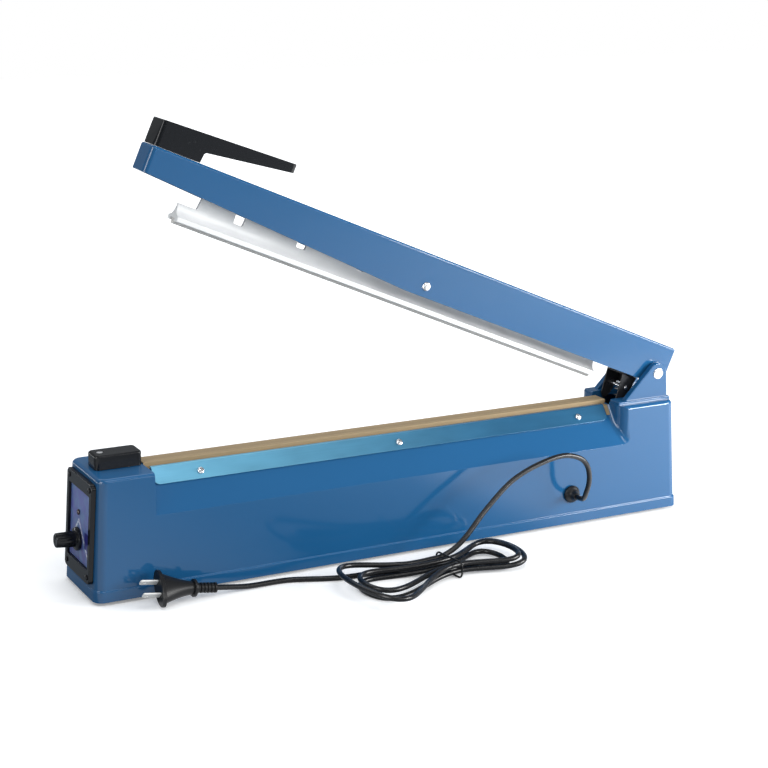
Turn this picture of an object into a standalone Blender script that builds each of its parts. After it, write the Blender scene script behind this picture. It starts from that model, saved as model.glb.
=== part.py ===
"""Long-arm impulse sealer: moulded base, spring-lifted sealing arm, timer panel and mains cord.

Blender script, metres, +Z up. X runs from the timer panel to the hinge, Y across the base, and the
part stands on its four feet at Z = 0. The model is laid out from the panel end of the base and then
centred over the origin. The arm rests open, as its spring holds it.
"""

from math import atan2, cos, degrees, hypot, pi, radians, sin, sqrt, tan

import bmesh
import bpy
from mathutils import Matrix, Vector

MM = 0.001

# Clearances and general detail
GAP = 0.3 * MM                     # between pieces that touch
RUNNING_GAP = 0.25 * MM            # round a shaft that turns
OVERRUN = 6 * MM                   # how far a cutter passes the face it cuts
ROUND_STEPS = 24                   # sides of a turned piece
SMALL_STEPS = 14                   # sides of a screw or small turned piece

# Base housing
BASE_LENGTH = 620 * MM
BASE_WIDTH = 85.2 * MM
BASE_HEIGHT = 110 * MM             # from its lower edge to its flat top
BASE_WALL = 2.5 * MM
SIDE_DRAFT = 3.9 * MM              # lean of each long face over the height
END_DRAFT = 6.6 * MM               # lean of each end face over the height
BASE_CORNER = 9 * MM               # radius of the upright corners
BASE_TOP_ROUND = 3.5 * MM
PLINTH_HEIGHT = 9.5 * MM
PLINTH_STEP = 0.9 * MM
FOOT_HEIGHT = 3 * MM
CORNER_STEPS = 5

# Sloping sides that the sealing bed stands between
SLOPE_START = 58.7 * MM
SLOPE_END = BASE_LENGTH - 70.5 * MM
SLOPE_FOOT = BASE_HEIGHT - 39.5 * MM    # height of the crease on the long face
LAND_HALF = 14 * MM                # half width of the ridge under the bed
LAND_HEIGHT = BASE_HEIGHT - 3.8 * MM
RAMP_ROUND = 13 * MM   # soft corner at the hinge end of each slope

# Hinge platform and ears
HINGE_X = BASE_LENGTH - 22.2 * MM
EAR_OUTER = 28 * MM
EAR_THICK = 6.8 * MM
EAR_TOP_RADIUS = 10.4 * MM
EAR_TOE = HINGE_X - 39 * MM
EAR_HEEL = HINGE_X + 12.4 * MM
EAR_SINK = 0.8 * MM                # toe and heel start this far down in the platform
EAR_EDGE_ROUND = 1.2 * MM
PLATFORM_RISE = 3 * MM
PLATFORM_START = HINGE_X - 47.7 * MM
PLATFORM_END = HINGE_X + 14 * MM
PLATFORM_HALF = 30.5 * MM
HINGE_RISE = 27 * MM               # hinge axis above the flat top
HINGE_PIN_RADIUS = 4.7 * MM
HINGE_PIN_PROUD = 0.9 * MM

# Slot for the lift lever
SLOT_START = HINGE_X - 49.6 * MM
SLOT_END = HINGE_X - 6.8 * MM
SLOT_HALF = 15.6 * MM

# Bottom plate, feet and their screws
PLATE_THICK = 1.2 * MM
PLATE_PLAY = 0.5 * MM
FOOT_RADIUS = 8 * MM
FOOT_TOP_RADIUS = 9 * MM
FOOT_INSET_X = 26 * MM
FOOT_INSET_Y = 20 * MM
BASE_SCREW_RADIUS = 1.75 * MM
BASE_SCREW_LENGTH = 14 * MM
BASE_SCREW_HEAD = 3.4 * MM
BASE_SCREW_HEAD_HEIGHT = 1.2 * MM
BOSS_RADIUS = 5.5 * MM
BOSS_HEIGHT = 26 * MM
FOOT_RECESS_DEPTH = 1.8 * MM

# Sealing bed: bar, insulation, heating band and cloth
BED_START = SLOPE_START + 2.3 * MM
BED_END = SLOT_START + 0.4 * MM
BED_HALF = 7.6 * MM
BED_HEIGHT = 2.5 * MM
BED_EDGE = 0.6 * MM
INSULATION_HALF = 6 * MM
INSULATION_THICK = 0.7 * MM
BAND_HALF = 2.5 * MM
BAND_THICK = 0.3 * MM
BAND_START = 47 * MM
CLOTH_THICK = 0.5 * MM
CLOTH_HEM = 4.4 * MM               # width of the cloth's flat hem on each side

# Clamp plates over the cloth's hems
CLAMP_START = SLOPE_START + 5 * MM
CLAMP_END = BED_END - 6.5 * MM
CLAMP_THICK = 1.0 * MM
CLAMP_LIP = 3.4 * MM               # flat lip on the ridge
CLAMP_DROP = 16 * MM             # its run down the slope
CLAMP_CORNER = 5 * MM
CLAMP_SCREW_COUNT = 3
CLAMP_SCREW_FIRST = CLAMP_START + 44.8 * MM
CLAMP_SCREW_LAST = CLAMP_END - 33.1 * MM
CLAMP_SCREW_DOWN = 8.2 * MM        # down the slope from the ridge's edge
CLAMP_SCREW_RADIUS = 1.4 * MM
CLAMP_SCREW_LENGTH = 6 * MM
CLAMP_SCREW_HEAD = 3.1 * MM
CLAMP_SCREW_HEAD_HEIGHT = 1.9 * MM

# Terminals and their cover
COVER_START = 14 * MM
COVER_END = SLOPE_START - 1.1 * MM
COVER_HALF = 11 * MM
COVER_HEIGHT = 13.7 * MM
COVER_WALL = 1.8 * MM
COVER_ROUND = 2.6 * MM
COVER_SCREW_X = 22 * MM
COVER_SCREW_RADIUS = 1.5 * MM
COVER_SCREW_HEAD = 3 * MM
COVER_SCREW_HEAD_HEIGHT = 0.9 * MM
COVER_SCREW_LENGTH = 16.5 * MM
TERMINAL_START = 34 * MM
TERMINAL_END = 47.6 * MM
TERMINAL_HALF = 5 * MM
TERMINAL_HEIGHT = 5 * MM
TERMINAL_JAW = 4 * MM              # how far the band reaches into the near terminal
FAR_TERMINAL_THICK = 1.6 * MM
FAR_TERMINAL_HALF = 5 * MM
FAR_TERMINAL_DROP = 14 * MM

# Timer panel on the panel end
BEZEL_WIDTH = 64 * MM
BEZEL_HEIGHT = 91 * MM
BEZEL_CENTRE = 59 * MM             # up the end face from the housing's lower edge
BEZEL_PROUD = 4 * MM
BEZEL_SIDE = 6 * MM
BEZEL_TOP = 12 * MM
BEZEL_BOTTOM = 12.5 * MM
BEZEL_CORNER = 5 * MM
BEZEL_EDGE = 0.8 * MM
LABEL_THICK = 1.2 * MM
LABEL_SET_BACK = 2.4 * MM          # front of the label behind the bezel's front
WINDOW_MARGIN = 4 * MM             # housing left round the window behind the bezel
BEZEL_SCREW_INSET_X = 6 * MM
BEZEL_SCREW_INSET_Z = 6 * MM
BEZEL_SCREW_RADIUS = 1.25 * MM
BEZEL_SCREW_HEAD = 2.4 * MM
BEZEL_SCREW_HEAD_HEIGHT = 1.0 * MM
BEZEL_SCREW_LENGTH = 7 * MM
PANEL_AXIS_Y = 4 * MM              # lamp and knob stand on one line, a little off centre
KNOB_DROP = 13.5 * MM              # below the bezel's middle
LAMP_RISE = 11 * MM                # above the bezel's middle
LAMP_RADIUS = 2.6 * MM
LAMP_PROUD = 1.6 * MM
LAMP_BODY_RADIUS = 2.1 * MM
LAMP_BODY_LENGTH = 9 * MM
KNOB_FLANGE_RADIUS = 10.6 * MM
KNOB_FLANGE_THICK = 3 * MM
KNOB_GRIP_RADIUS = 7.2 * MM
KNOB_END_RADIUS = 6.5 * MM
KNOB_LENGTH = 21 * MM
KNOB_BORE = 3.25 * MM
KNOB_BORE_DEPTH = 12 * MM
KNOB_FLUTE_COUNT = 12
KNOB_FLUTE_SHARE = 0.05
SHAFT_RADIUS = 3 * MM
SHAFT_LENGTH = 11 * MM             # of the control's shaft in front of the label
CONTROL_RADIUS = 8 * MM
CONTROL_DEPTH = 9 * MM
BUSH_RADIUS = 3.6 * MM
BOARD_THICK = 1.6 * MM
BOARD_WIDTH = 46 * MM
BOARD_HEIGHT = 58 * MM
BOARD_RELAY = (19 * MM, 15.5 * MM, 15 * MM)
BOARD_CAPACITOR_RADIUS = 5 * MM
BOARD_CAPACITOR_HEIGHT = 11 * MM

# Transformer
CORE_X = 136 * MM
CORE_LENGTH = 75 * MM
CORE_HEIGHT = SLOPE_FOOT - 8 * MM
CORE_DEPTH = 44 * MM
CORE_LIMB = 25 * MM
CORE_YOKE = 12.5 * MM
COIL_PLAY = 0.6 * MM
COIL_BULGE = 9 * MM
COIL_ROUND = 4 * MM
CORE_SCREW_RADIUS = 2 * MM
CORE_SCREW_INSET = 6 * MM
CORE_SCREW_HEAD = 3.8 * MM
CORE_SCREW_HEAD_HEIGHT = 2.4 * MM

# Mechanism bracket, spring and switch under the hinge
TOWER_START = HINGE_X - 42.8 * MM
TOWER_END = HINGE_X - 14.8 * MM
TOWER_HALF = 17 * MM
TOWER_SHEET = 1.6 * MM
TOWER_SHELF = BASE_HEIGHT - 52 * MM    # top of the shelf above the housing's lower edge
TOWER_FLANGE = 7 * MM
TAB_TOP = BASE_HEIGHT - 22 * MM
TAB_START = HINGE_X - 29.4 * MM
TAB_END = HINGE_X - 15.4 * MM
TAB_INNER = 15.6 * MM
GUIDE_RADIUS = 3 * MM
GUIDE_HEIGHT = 22 * MM
SPRING_X = HINGE_X - 25.2 * MM
SPRING_RADIUS = 5.6 * MM           # to the middle of the wire
SPRING_WIRE = 0.7 * MM             # radius of the wire
SPRING_TURN_COUNT = 9
SPRING_STEPS = 9
SWITCH_LENGTH = 19.6 * MM
SWITCH_DEPTH = 6 * MM
SWITCH_HEIGHT = 10.2 * MM
SWITCH_TRAVEL = 1.5 * MM
PLUNGER_RADIUS = 1.4 * MM
PLUNGER_SHANK = 5 * MM
PLUNGER_PROUD = 2.4 * MM

# Sealing arm, in its own frame: origin on the hinge axis, X towards the hinge, arm level
OPEN_ANGLE = radians(23)
ARM_REACH = HINGE_X - 13.3 * MM    # hinge axis to the tip
ARM_TAIL = 16 * MM                 # hinge axis to the rear end
ARM_TOP = 28.8 * MM                # top face above the hinge axis
ARM_TIP_DEPTH = 24 * MM
ARM_DEPTH = 40.2 * MM
ARM_TAPER_SHARE = 0.5184
ARM_TAPER_END = ARM_REACH * ARM_TAPER_SHARE    # from the hinge axis to where the full depth starts
ARM_TIP_HALF = 14.4 * MM
ARM_HALF = 19.6 * MM
ARM_WALL = 2 * MM
ARM_CORNER = 3 * MM
ARM_EDGE = 2.2 * MM
ARM_END_WALL = 3.5 * MM

# Handle on the arm's tip
HANDLE_HALF = 13 * MM
HANDLE_CORNER = 5 * MM
HANDLE_EDGE = 1.6 * MM
HANDLE_SET_BACK = 1.2 * MM
HANDLE_BLOCK = 45.5 * MM           # length of its foot on the arm
HANDLE_HEIGHT = 23.4 * MM          # above the arm at the tip end
HANDLE_REACH = 134.5 * MM          # whole length
HANDLE_END_TOP = 30 * MM           # blade end above the arm
HANDLE_END_THICK = 8.2 * MM
HANDLE_GAP_HEIGHT = 9.8 * MM       # finger gap at its root

# Press bar, in its own frame: origin on its pin
BAR_PIN_SHARE = 0.48486
BAR_PIN_BACK = ARM_REACH * BAR_PIN_SHARE    # hinge axis to the bar's pin
BAR_PIN_DROP = 1.0 * MM
BAR_LEFT = ARM_REACH - BAR_PIN_BACK - 46.5 * MM    # pin to the tip end of the bar
BAR_RIGHT = BAR_PIN_BACK - 60.8 * MM
BAR_WEB_INSET = 19.5 * MM          # web starts this far in from the tip end
BAR_WEB_HALF = 1.5 * MM
BAR_WEB_TOP = 9 * MM
BAR_FOOT_TOP = 9.6 * MM            # below the pin
BAR_FOOT_HALF = 11 * MM
BAR_FOOT_SIDE = 4.6 * MM           # upright side of the foot
BAR_FOOT_BOTTOM = 24.4 * MM        # below the pin
BAR_GROOVE_HALF = 4.2 * MM
BAR_GROOVE_DEPTH = 2.6 * MM
BAR_FLARE_STEPS = 6
BAR_PIN_RADIUS = 3 * MM
BAR_PIN_HEAD = 4.3 * MM
BAR_PIN_HEAD_HEIGHT = 1.6 * MM
BAR_NOTCH_COUNT = 7
BAR_NOTCH_FIRST = BAR_LEFT - 60 * MM    # pin to the middle of the first notch, towards the tip
BAR_NOTCH_PITCH = 66 * MM
BAR_NOTCH_WIDTH = 12.4 * MM
BAR_NOTCH_FLOOR = 8.4 * MM         # below the pin
SILICONE_PROUD = 2.6 * MM
SILICONE_END = 1 * MM              # set back from the bar's ends

# Lift lever under the arm: two cheeks and a back, pinned through
LEVER_OUTER = 13.7 * MM
LEVER_SHEET = 1.4 * MM
LEVER_TOP = 12 * MM                # below the hinge axis
LEVER_LOW = 44 * MM
LEVER_LOW_X = 21 * MM
LEVER_FRONT = 30 * MM
LEVER_KNEE_X = 26.5 * MM
LEVER_KNEE_Z = 38 * MM
LEVER_REAR = 12 * MM
LEVER_HEEL_X = 16 * MM
LEVER_HEEL_Z = 36 * MM
LEVER_SEAT = 9 * MM                # depth of the folded top that is fixed under the arm
LEVER_PIN_X = 20.8 * MM
LEVER_PIN_Z = 25 * MM
LEVER_PIN_RADIUS = 2 * MM
LEVER_PIN_PROUD = 1.4 * MM
LEVER_STUD_X = 21 * MM
LEVER_STUD_HALF = 5 * MM

# Mains cord, its gland, hank, tie and plug
CORD_RADIUS = 2.5 * MM
GLAND_X = BASE_LENGTH - 129 * MM
GLAND_HEIGHT = 30 * MM             # above the housing's lower edge
GLAND_RADIUS = 8.6 * MM
GLAND_NECK = 6.2 * MM
GLAND_PROUD = 5.5 * MM
GLAND_TAPER = 5.5 * MM
GLAND_TIP_RADIUS = 4.6 * MM
GLAND_INSIDE = 3 * MM
HANK_X = GLAND_X - 173 * MM
HANK_Y = -103 * MM
HANK_SWING = radians(9)            # its long way turned off X
HANK_TURN_COUNT = 3
HANK_STEPS = 24
HANK_START = 0.35                  # radians past the waist
HANK_PITCH = 6.4 * MM              # step from strand to strand at the waist
HANK_WAIST = 3.4 * MM
HANK_LAYER = 6 * MM
HANK_LIFT = 2.6 * MM               # the waist lies on its tie
HANK_LIFT_SPAN = 60 * MM
HANK_LEFT = (90 * MM, 17 * MM)     # reach of the inmost turn, and how much each turn adds
HANK_LEFT_SPREAD = (20 * MM, 26 * MM)
HANK_LEFT_LOW = (88 * MM, 7.5 * MM)
HANK_LEFT_LOW_SPREAD = (20 * MM, 8 * MM)
HANK_RIGHT = (58 * MM, 15 * MM)
HANK_RIGHT_SPREAD = (19.6 * MM, 9.6 * MM)
HANK_LEFT_RISE = 6 * MM            # the outer turn springs up at its left end
HANK_LEFT_SAG = 11 * MM            # and leans away from the housing
HANK_RIGHT_RISE = 6 * MM
TIE_RADIUS = 0.9 * MM
TIE_HALF = 18.8 * MM
TIE_HEIGHT = 15 * MM
TIE_CORNER = 4.6 * MM
PLUG_ANGLE = radians(0)          # heading of the blades off -X
PLUG_PITCH = radians(8.5)           # blades tilt up
PLUG_ROLL = radians(-42)
PLUG_X = GLAND_X - 385.5 * MM
PLUG_Y = -60 * MM
PLUG_Z = 7.4 * MM
PLUG_RELIEF = 20 * MM
PLUG_RELIEF_RADIUS = 4.6 * MM
PLUG_RIB_COUNT = 6
PLUG_RIB_DEPTH = 0.9 * MM
PLUG_COLLAR = 8 * MM
PLUG_COLLAR_THICK = 2.4 * MM
PLUG_BODY = 28 * MM
PLUG_BODY_TALL = 15 * MM
PLUG_BODY_HALF = 7.5 * MM
PLUG_NECK_RADIUS = 6 * MM
PLUG_FLANGE = 3.6 * MM
PLUG_FLANGE_TALL = 18 * MM
PLUG_FLANGE_HALF = 9 * MM
BLADE_LENGTH = 16 * MM
BLADE_WIDTH = 6.3 * MM
BLADE_THICK = 1.5 * MM
BLADE_PITCH = 12.7 * MM
BLADE_SINK = 3 * MM

# The lead's route from the gland to the hank, and the tail's from the hank to the plug, in
# millimetres, with X counted from the gland
LEAD_ROUTE = [
    (0, -53.5, 33), (0, -59, 33), (-1.4, -65, 36), (-2.4, -70, 43.5), (-1.5, -72.5, 54),
    (-2.2, -73, 64), (-5.5, -73, 73), (-12.6, -72.5, 80), (-25.7, -72.2, 84.6), (-39, -72.5, 85),
    (-55, -73.2, 82.2), (-72, -74.2, 77.5), (-88, -75.5, 71), (-101, -77.5, 63.5), (-114, -80, 54),
    (-127, -83, 44), (-138, -86, 34.6), (-148, -88.3, 26), (-157, -88.9, 19.2), (-165, -89, 14.9),
    (-174, -89.2, 11.9), (-185, -88.9, 10.9), (-197, -88.2, 10),
]
TAIL_ROUTE = [
    (-232, -80, 2.5), (-245, -77.5, 2.5), (-259, -76.5, 2.5), (-273, -74.5, 2.5), (-287, -70, 2.5),
    (-301, -64.5, 2.5), (-315, -60, 2.5), (-329, -59, 2.6), (-343, -59.6, 2.9), (-355, -60, 3.4),
    (-366, -60, 4.6),
]
ROUTE_SPACING_SHARE = 2.6          # cord diameters from point to point


def finish(name, colour, roughness, metallic=0.0):
    """Material of one finish, shared by every piece that has it."""
    material = bpy.data.materials.get(name)
    if material is None:
        material = bpy.data.materials.new(name)
        material.use_nodes = True
        shader = material.node_tree.nodes["Principled BSDF"]
        shader.inputs["Base Color"].default_value = (*colour, 1)
        shader.inputs["Roughness"].default_value = roughness
        shader.inputs["Metallic"].default_value = metallic
        material.diffuse_color = (*colour, 1)
    return material


def blue_plastic():
    return finish("blue_plastic", (0.075, 0.21, 0.46), 0.3)


def black_plastic():
    return finish("black_plastic", (0.012, 0.012, 0.014), 0.42)


def black_rubber():
    return finish("black_rubber", (0.015, 0.015, 0.015), 0.7)


def bright_steel():
    return finish("bright_steel", (0.72, 0.74, 0.76), 0.25, 1)


def black_steel():
    return finish("black_steel", (0.02, 0.02, 0.022), 0.45, 0.4)


def aluminium():
    return finish("aluminium", (0.78, 0.79, 0.8), 0.35, 1)


def brass():
    return finish("brass", (0.72, 0.53, 0.25), 0.3, 1)


def empty(name, parent=None, location=(0, 0, 0), turn=Matrix.Identity(3)):
    """Frame that pieces hang from."""
    frame = bpy.data.objects.new(name, None)
    frame.empty_display_size = BASE_WALL
    frame.rotation_mode = "QUATERNION"
    frame.rotation_quaternion = turn.to_quaternion()
    frame.location = location
    frame.parent = parent
    bpy.context.collection.objects.link(frame)
    return frame


def piece(name, shape, material, parent, smooth_angle=radians(35)):
    """Named object from a bmesh, with outward faces and sharp edges where they are sharp."""
    bmesh.ops.recalc_face_normals(shape, faces=shape.faces)
    mesh = bpy.data.meshes.new(name)
    shape.to_mesh(mesh)
    shape.free()
    mesh.materials.append(material)
    mesh.shade_smooth()
    mesh.set_sharp_from_angle(angle=smooth_angle)
    made = bpy.data.objects.new(name, mesh)
    made.parent = parent
    bpy.context.collection.objects.link(made)
    return made


def hide(guide):
    guide.hide_render = True
    guide.display_type = "WIRE"
    return guide


def cut(target, shape, parent, name, operation="DIFFERENCE"):
    """Boolean of a hidden guide on a piece."""
    guide = hide(piece(name, shape, black_steel(), parent))
    step = target.modifiers.new(name, "BOOLEAN")
    step.operation = operation
    step.solver = "EXACT"
    step.object = guide
    return guide


def box(low, high, edge=0.0, steps=2):
    """Box between two corners, with all edges bevelled where asked."""
    shape = bmesh.new()
    bmesh.ops.create_cube(shape, size=1)
    low, high = Vector(low), Vector(high)
    span = high - low
    bmesh.ops.scale(shape, vec=span, verts=shape.verts)
    bmesh.ops.translate(shape, vec=(low + high) / 2, verts=shape.verts)
    if edge > 0:
        bmesh.ops.bevel(shape, geom=shape.edges[:], offset=edge, segments=steps, profile=0.5,
                        affect="EDGES")
    return shape


def prism(outline, low, high, axis):
    """Outline extruded along an axis: the outline's two coordinates are the other two, in order."""
    def place(first, second, along):
        if axis == "X":
            return Vector((along, first, second))
        if axis == "Y":
            return Vector((first, along, second))
        return Vector((first, second, along))

    return loft([[place(a, b, low) for a, b in outline], [place(a, b, high) for a, b in outline]])


def loft(rings):
    """Closed skin through rings of points, capped at both ends."""
    shape = bmesh.new()
    rows = [[shape.verts.new(point) for point in ring] for ring in rings]
    count = len(rows[0])
    for row, following in zip(rows, rows[1:]):
        for i in range(count):
            j = (i + 1) % count
            shape.faces.new((row[i], row[j], following[j], following[i]))
    shape.faces.new(rows[0])
    shape.faces.new(rows[-1])
    bmesh.ops.recalc_face_normals(shape, faces=shape.faces)
    return shape


def turned(profile, steps=ROUND_STEPS, axis=Vector((0, 0, 1)), centre=(0, 0, 0), closed=False):
    """Solid of revolution: profile points are (radius, distance along the axis)."""
    shape = bmesh.new()
    rows = []
    for radius, along in profile:
        if radius == 0:
            rows.append([shape.verts.new((0, 0, along))])
        else:
            rows.append([shape.verts.new((radius * cos(2 * pi * i / steps),
                                          radius * sin(2 * pi * i / steps), along))
                         for i in range(steps)])
    pairs = list(zip(rows, rows[1:]))
    if closed:
        pairs.append((rows[-1], rows[0]))
    for row, following in pairs:
        for i in range(steps):
            j = (i + 1) % steps
            corners = [row[i % len(row)], row[j % len(row)],
                       following[j % len(following)], following[i % len(following)]]
            shape.faces.new(list(dict.fromkeys(corners)))
    turn = Vector((0, 0, 1)).rotation_difference(Vector(axis)).to_matrix()
    bmesh.ops.rotate(shape, matrix=turn, verts=shape.verts)
    bmesh.ops.translate(shape, vec=Vector(centre), verts=shape.verts)
    bmesh.ops.recalc_face_normals(shape, faces=shape.faces)
    return shape


def rod(radius, low, high, steps=ROUND_STEPS, axis=Vector((0, 0, 1)), centre=(0, 0, 0)):
    return turned([(0, low), (radius, low), (radius, high), (0, high)], steps, axis, centre)


def screw_profile(radius, length, head, head_height, socket=True):
    """Pan head on a shank: the head's seat is at 0 and the shank runs below it."""
    rim = head_height / 2
    crown = [(head, 0), (head, rim), (head * cos(pi / 4), head_height)]
    slot = [(radius, head_height), (radius, rim), (0, rim)] if socket else [(0, head_height)]
    return [(0, -length), (radius, -length), (radius, 0)] + crown + slot


def rounded(corners, radii, steps=CORNER_STEPS):
    """Outline with an arc at each corner that has a radius."""
    points = []
    count = len(corners)
    for i, corner in enumerate(corners):
        here = Vector(corner)
        radius = radii[i]
        if radius == 0:
            points.append(tuple(here))
            continue
        back = (Vector(corners[i - 1]) - here).normalized()
        ahead = (Vector(corners[(i + 1) % count]) - here).normalized()
        half = back.angle(ahead) / 2
        centre = here + (back + ahead).normalized() * (radius / sin(half))
        start = here + back * (radius / tan(half)) - centre
        end = here + ahead * (radius / tan(half)) - centre
        sweep = start.angle(end)
        for step in range(steps + 1):
            share = step / steps
            blend = (start * sin((1 - share) * sweep) + end * sin(share * sweep)) / sin(sweep)
            points.append(tuple(centre + blend))
    return points


def rounded_rectangle(half_x, half_y, radius, steps=CORNER_STEPS):
    corners = [(-half_x, -half_y), (half_x, -half_y), (half_x, half_y), (-half_x, half_y)]
    return rounded(corners, [radius] * 4, steps)


def smooth_route(points, spacing):
    """Points at an even spacing on a smooth curve through a route; its two end legs stay straight."""
    route = [Vector(point) for point in points]
    dense = []
    for i in range(1, len(route) - 2):
        before, start, end, after = route[i - 1:i + 3]
        parts = 16
        for step in range(parts):
            t = step / parts
            dense.append(0.5 * (2 * start + (end - before) * t
                                + (2 * before - 5 * start + 4 * end - after) * t ** 2
                                + (3 * start - before - 3 * end + after) * t ** 3))
    dense.append(route[-2])
    total = route_length(dense)
    count = max(2, round(total / spacing))
    even, walked, target = [dense[0]], 0.0, total / count
    for start, end in zip(dense, dense[1:]):
        leg = (end - start).length
        while leg > 0 and walked + leg >= target * len(even) and len(even) < count:
            share = (target * len(even) - walked) / leg
            even.append(start.lerp(end, share))
        walked += leg
    return [route[0]] + even + [dense[-1], route[-1]]


def route_length(points):
    return sum((end - start).length for start, end in zip(points, points[1:]))


def tube(name, points, radius, material, parent, resolution=2):
    """Curve object along points, with filled ends."""
    curve = bpy.data.curves.new(name, "CURVE")
    curve.dimensions = "3D"
    curve.bevel_depth = radius
    curve.bevel_resolution = resolution
    curve.use_fill_caps = True
    spline = curve.splines.new("POLY")
    spline.points.add(len(points) - 1)
    for node, point in zip(spline.points, points):
        node.co = (*point, 1)
    curve.materials.append(material)
    made = bpy.data.objects.new(name, curve)
    made.parent = parent
    bpy.context.collection.objects.link(made)
    return made


def base_z(height):
    """Height above the resting surface of a height above the housing's lower edge."""
    return FOOT_HEIGHT + height


def side_at(height):
    """Half width of the housing at a height above its lower edge."""
    return BASE_WIDTH / 2 - SIDE_DRAFT * height / BASE_HEIGHT


def end_at(height):
    """Distance of the panel end face from the part's left end at a height."""
    return END_DRAFT * height / BASE_HEIGHT


def slope_tangent():
    rise = LAND_HEIGHT - SLOPE_FOOT
    run = side_at(SLOPE_FOOT) - LAND_HALF
    return rise / run


def slope_angle():
    return atan2(slope_tangent(), 1)


def housing_ring(height, inset):
    """Rounded outline of the housing at a height, moved in by an inset."""
    centre = BASE_LENGTH / 2
    half_x = centre - end_at(height) - inset
    half_y = side_at(height) - inset
    radius = max(BASE_CORNER - inset, BASE_WALL)
    return [Vector((centre + x, y, base_z(height)))
            for x, y in rounded_rectangle(half_x, half_y, radius)]


def housing_skin():
    """Outer loft: plinth, step, drafted walls and a rounded upper edge."""
    rings = [housing_ring(0, 0), housing_ring(PLINTH_HEIGHT, 0),
             housing_ring(PLINTH_HEIGHT + PLINTH_STEP, PLINTH_STEP)]
    steps = 4
    for step in range(steps + 1):
        turn = pi / 2 * step / steps
        height = BASE_HEIGHT - BASE_TOP_ROUND * (1 - sin(turn))
        rings.append(housing_ring(height, PLINTH_STEP + BASE_TOP_ROUND * (1 - cos(turn))))
    return loft(rings)


def slope_outline(inset, reach):
    """Cross-section above the sloping sides, lowered by an inset, out to a reach."""
    tangent = slope_tangent()
    drop = inset / cos(slope_angle())
    land_half = LAND_HALF - inset * tan(slope_angle() / 2)
    land = base_z(LAND_HEIGHT - inset)
    foot = base_z(SLOPE_FOOT) - drop - (reach - side_at(SLOPE_FOOT)) * tangent
    top = base_z(BASE_HEIGHT + OVERRUN)
    return [(-reach, top), (-reach, foot), (-land_half, land), (land_half, land),
            (reach, foot), (reach, top)]


def recess_plan(reach):
    """Plan of the room over the slopes: square at the panel end, a soft corner at the hinge end."""
    face = side_at(SLOPE_FOOT) - PLINTH_STEP
    corner = []
    for step in range(CORNER_STEPS + 1):
        turn = pi / 2 * step / CORNER_STEPS
        corner.append((SLOPE_END + RAMP_ROUND * (1 - cos(turn)),
                       face - RAMP_ROUND * (1 - sin(turn))))
    half = corner + [(SLOPE_END + RAMP_ROUND, reach)]
    return ([(SLOPE_START, reach)] + half[::-1]
            + [(x, -y) for x, y in half] + [(SLOPE_START, -reach)])


def ear_outline():
    """Side view of an ear: a toe in front, a round top about the pin, a steep heel behind."""
    axis = Vector((HINGE_X, base_z(BASE_HEIGHT + HINGE_RISE)))
    floor = base_z(BASE_HEIGHT) - BASE_WALL / 3
    toe = Vector((EAR_TOE, base_z(BASE_HEIGHT + PLATFORM_RISE - EAR_SINK)))
    heel = Vector((EAR_HEEL, base_z(BASE_HEIGHT + PLATFORM_RISE - EAR_SINK)))
    points = [(EAR_TOE, floor), tuple(toe)]
    to_toe = toe - axis
    to_heel = heel - axis
    first = atan2(to_toe.y, to_toe.x) % (2 * pi)
    first -= pi / 2 - (pi / 2 - sqrt_angle(EAR_TOP_RADIUS, to_toe.length))
    last = atan2(to_heel.y, to_heel.x) + sqrt_angle(EAR_TOP_RADIUS, to_heel.length)
    steps = 10
    for step in range(steps + 1):
        turn = first + (last - first) * step / steps
        points.append((axis.x + EAR_TOP_RADIUS * cos(turn), axis.y + EAR_TOP_RADIUS * sin(turn)))
    return points + [tuple(heel), (EAR_HEEL, floor)]


def sqrt_angle(radius, distance):
    """Angle at a circle's centre between a far point and its tangent point on the circle."""
    return atan2(sqrt(distance ** 2 - radius ** 2), radius)


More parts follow.
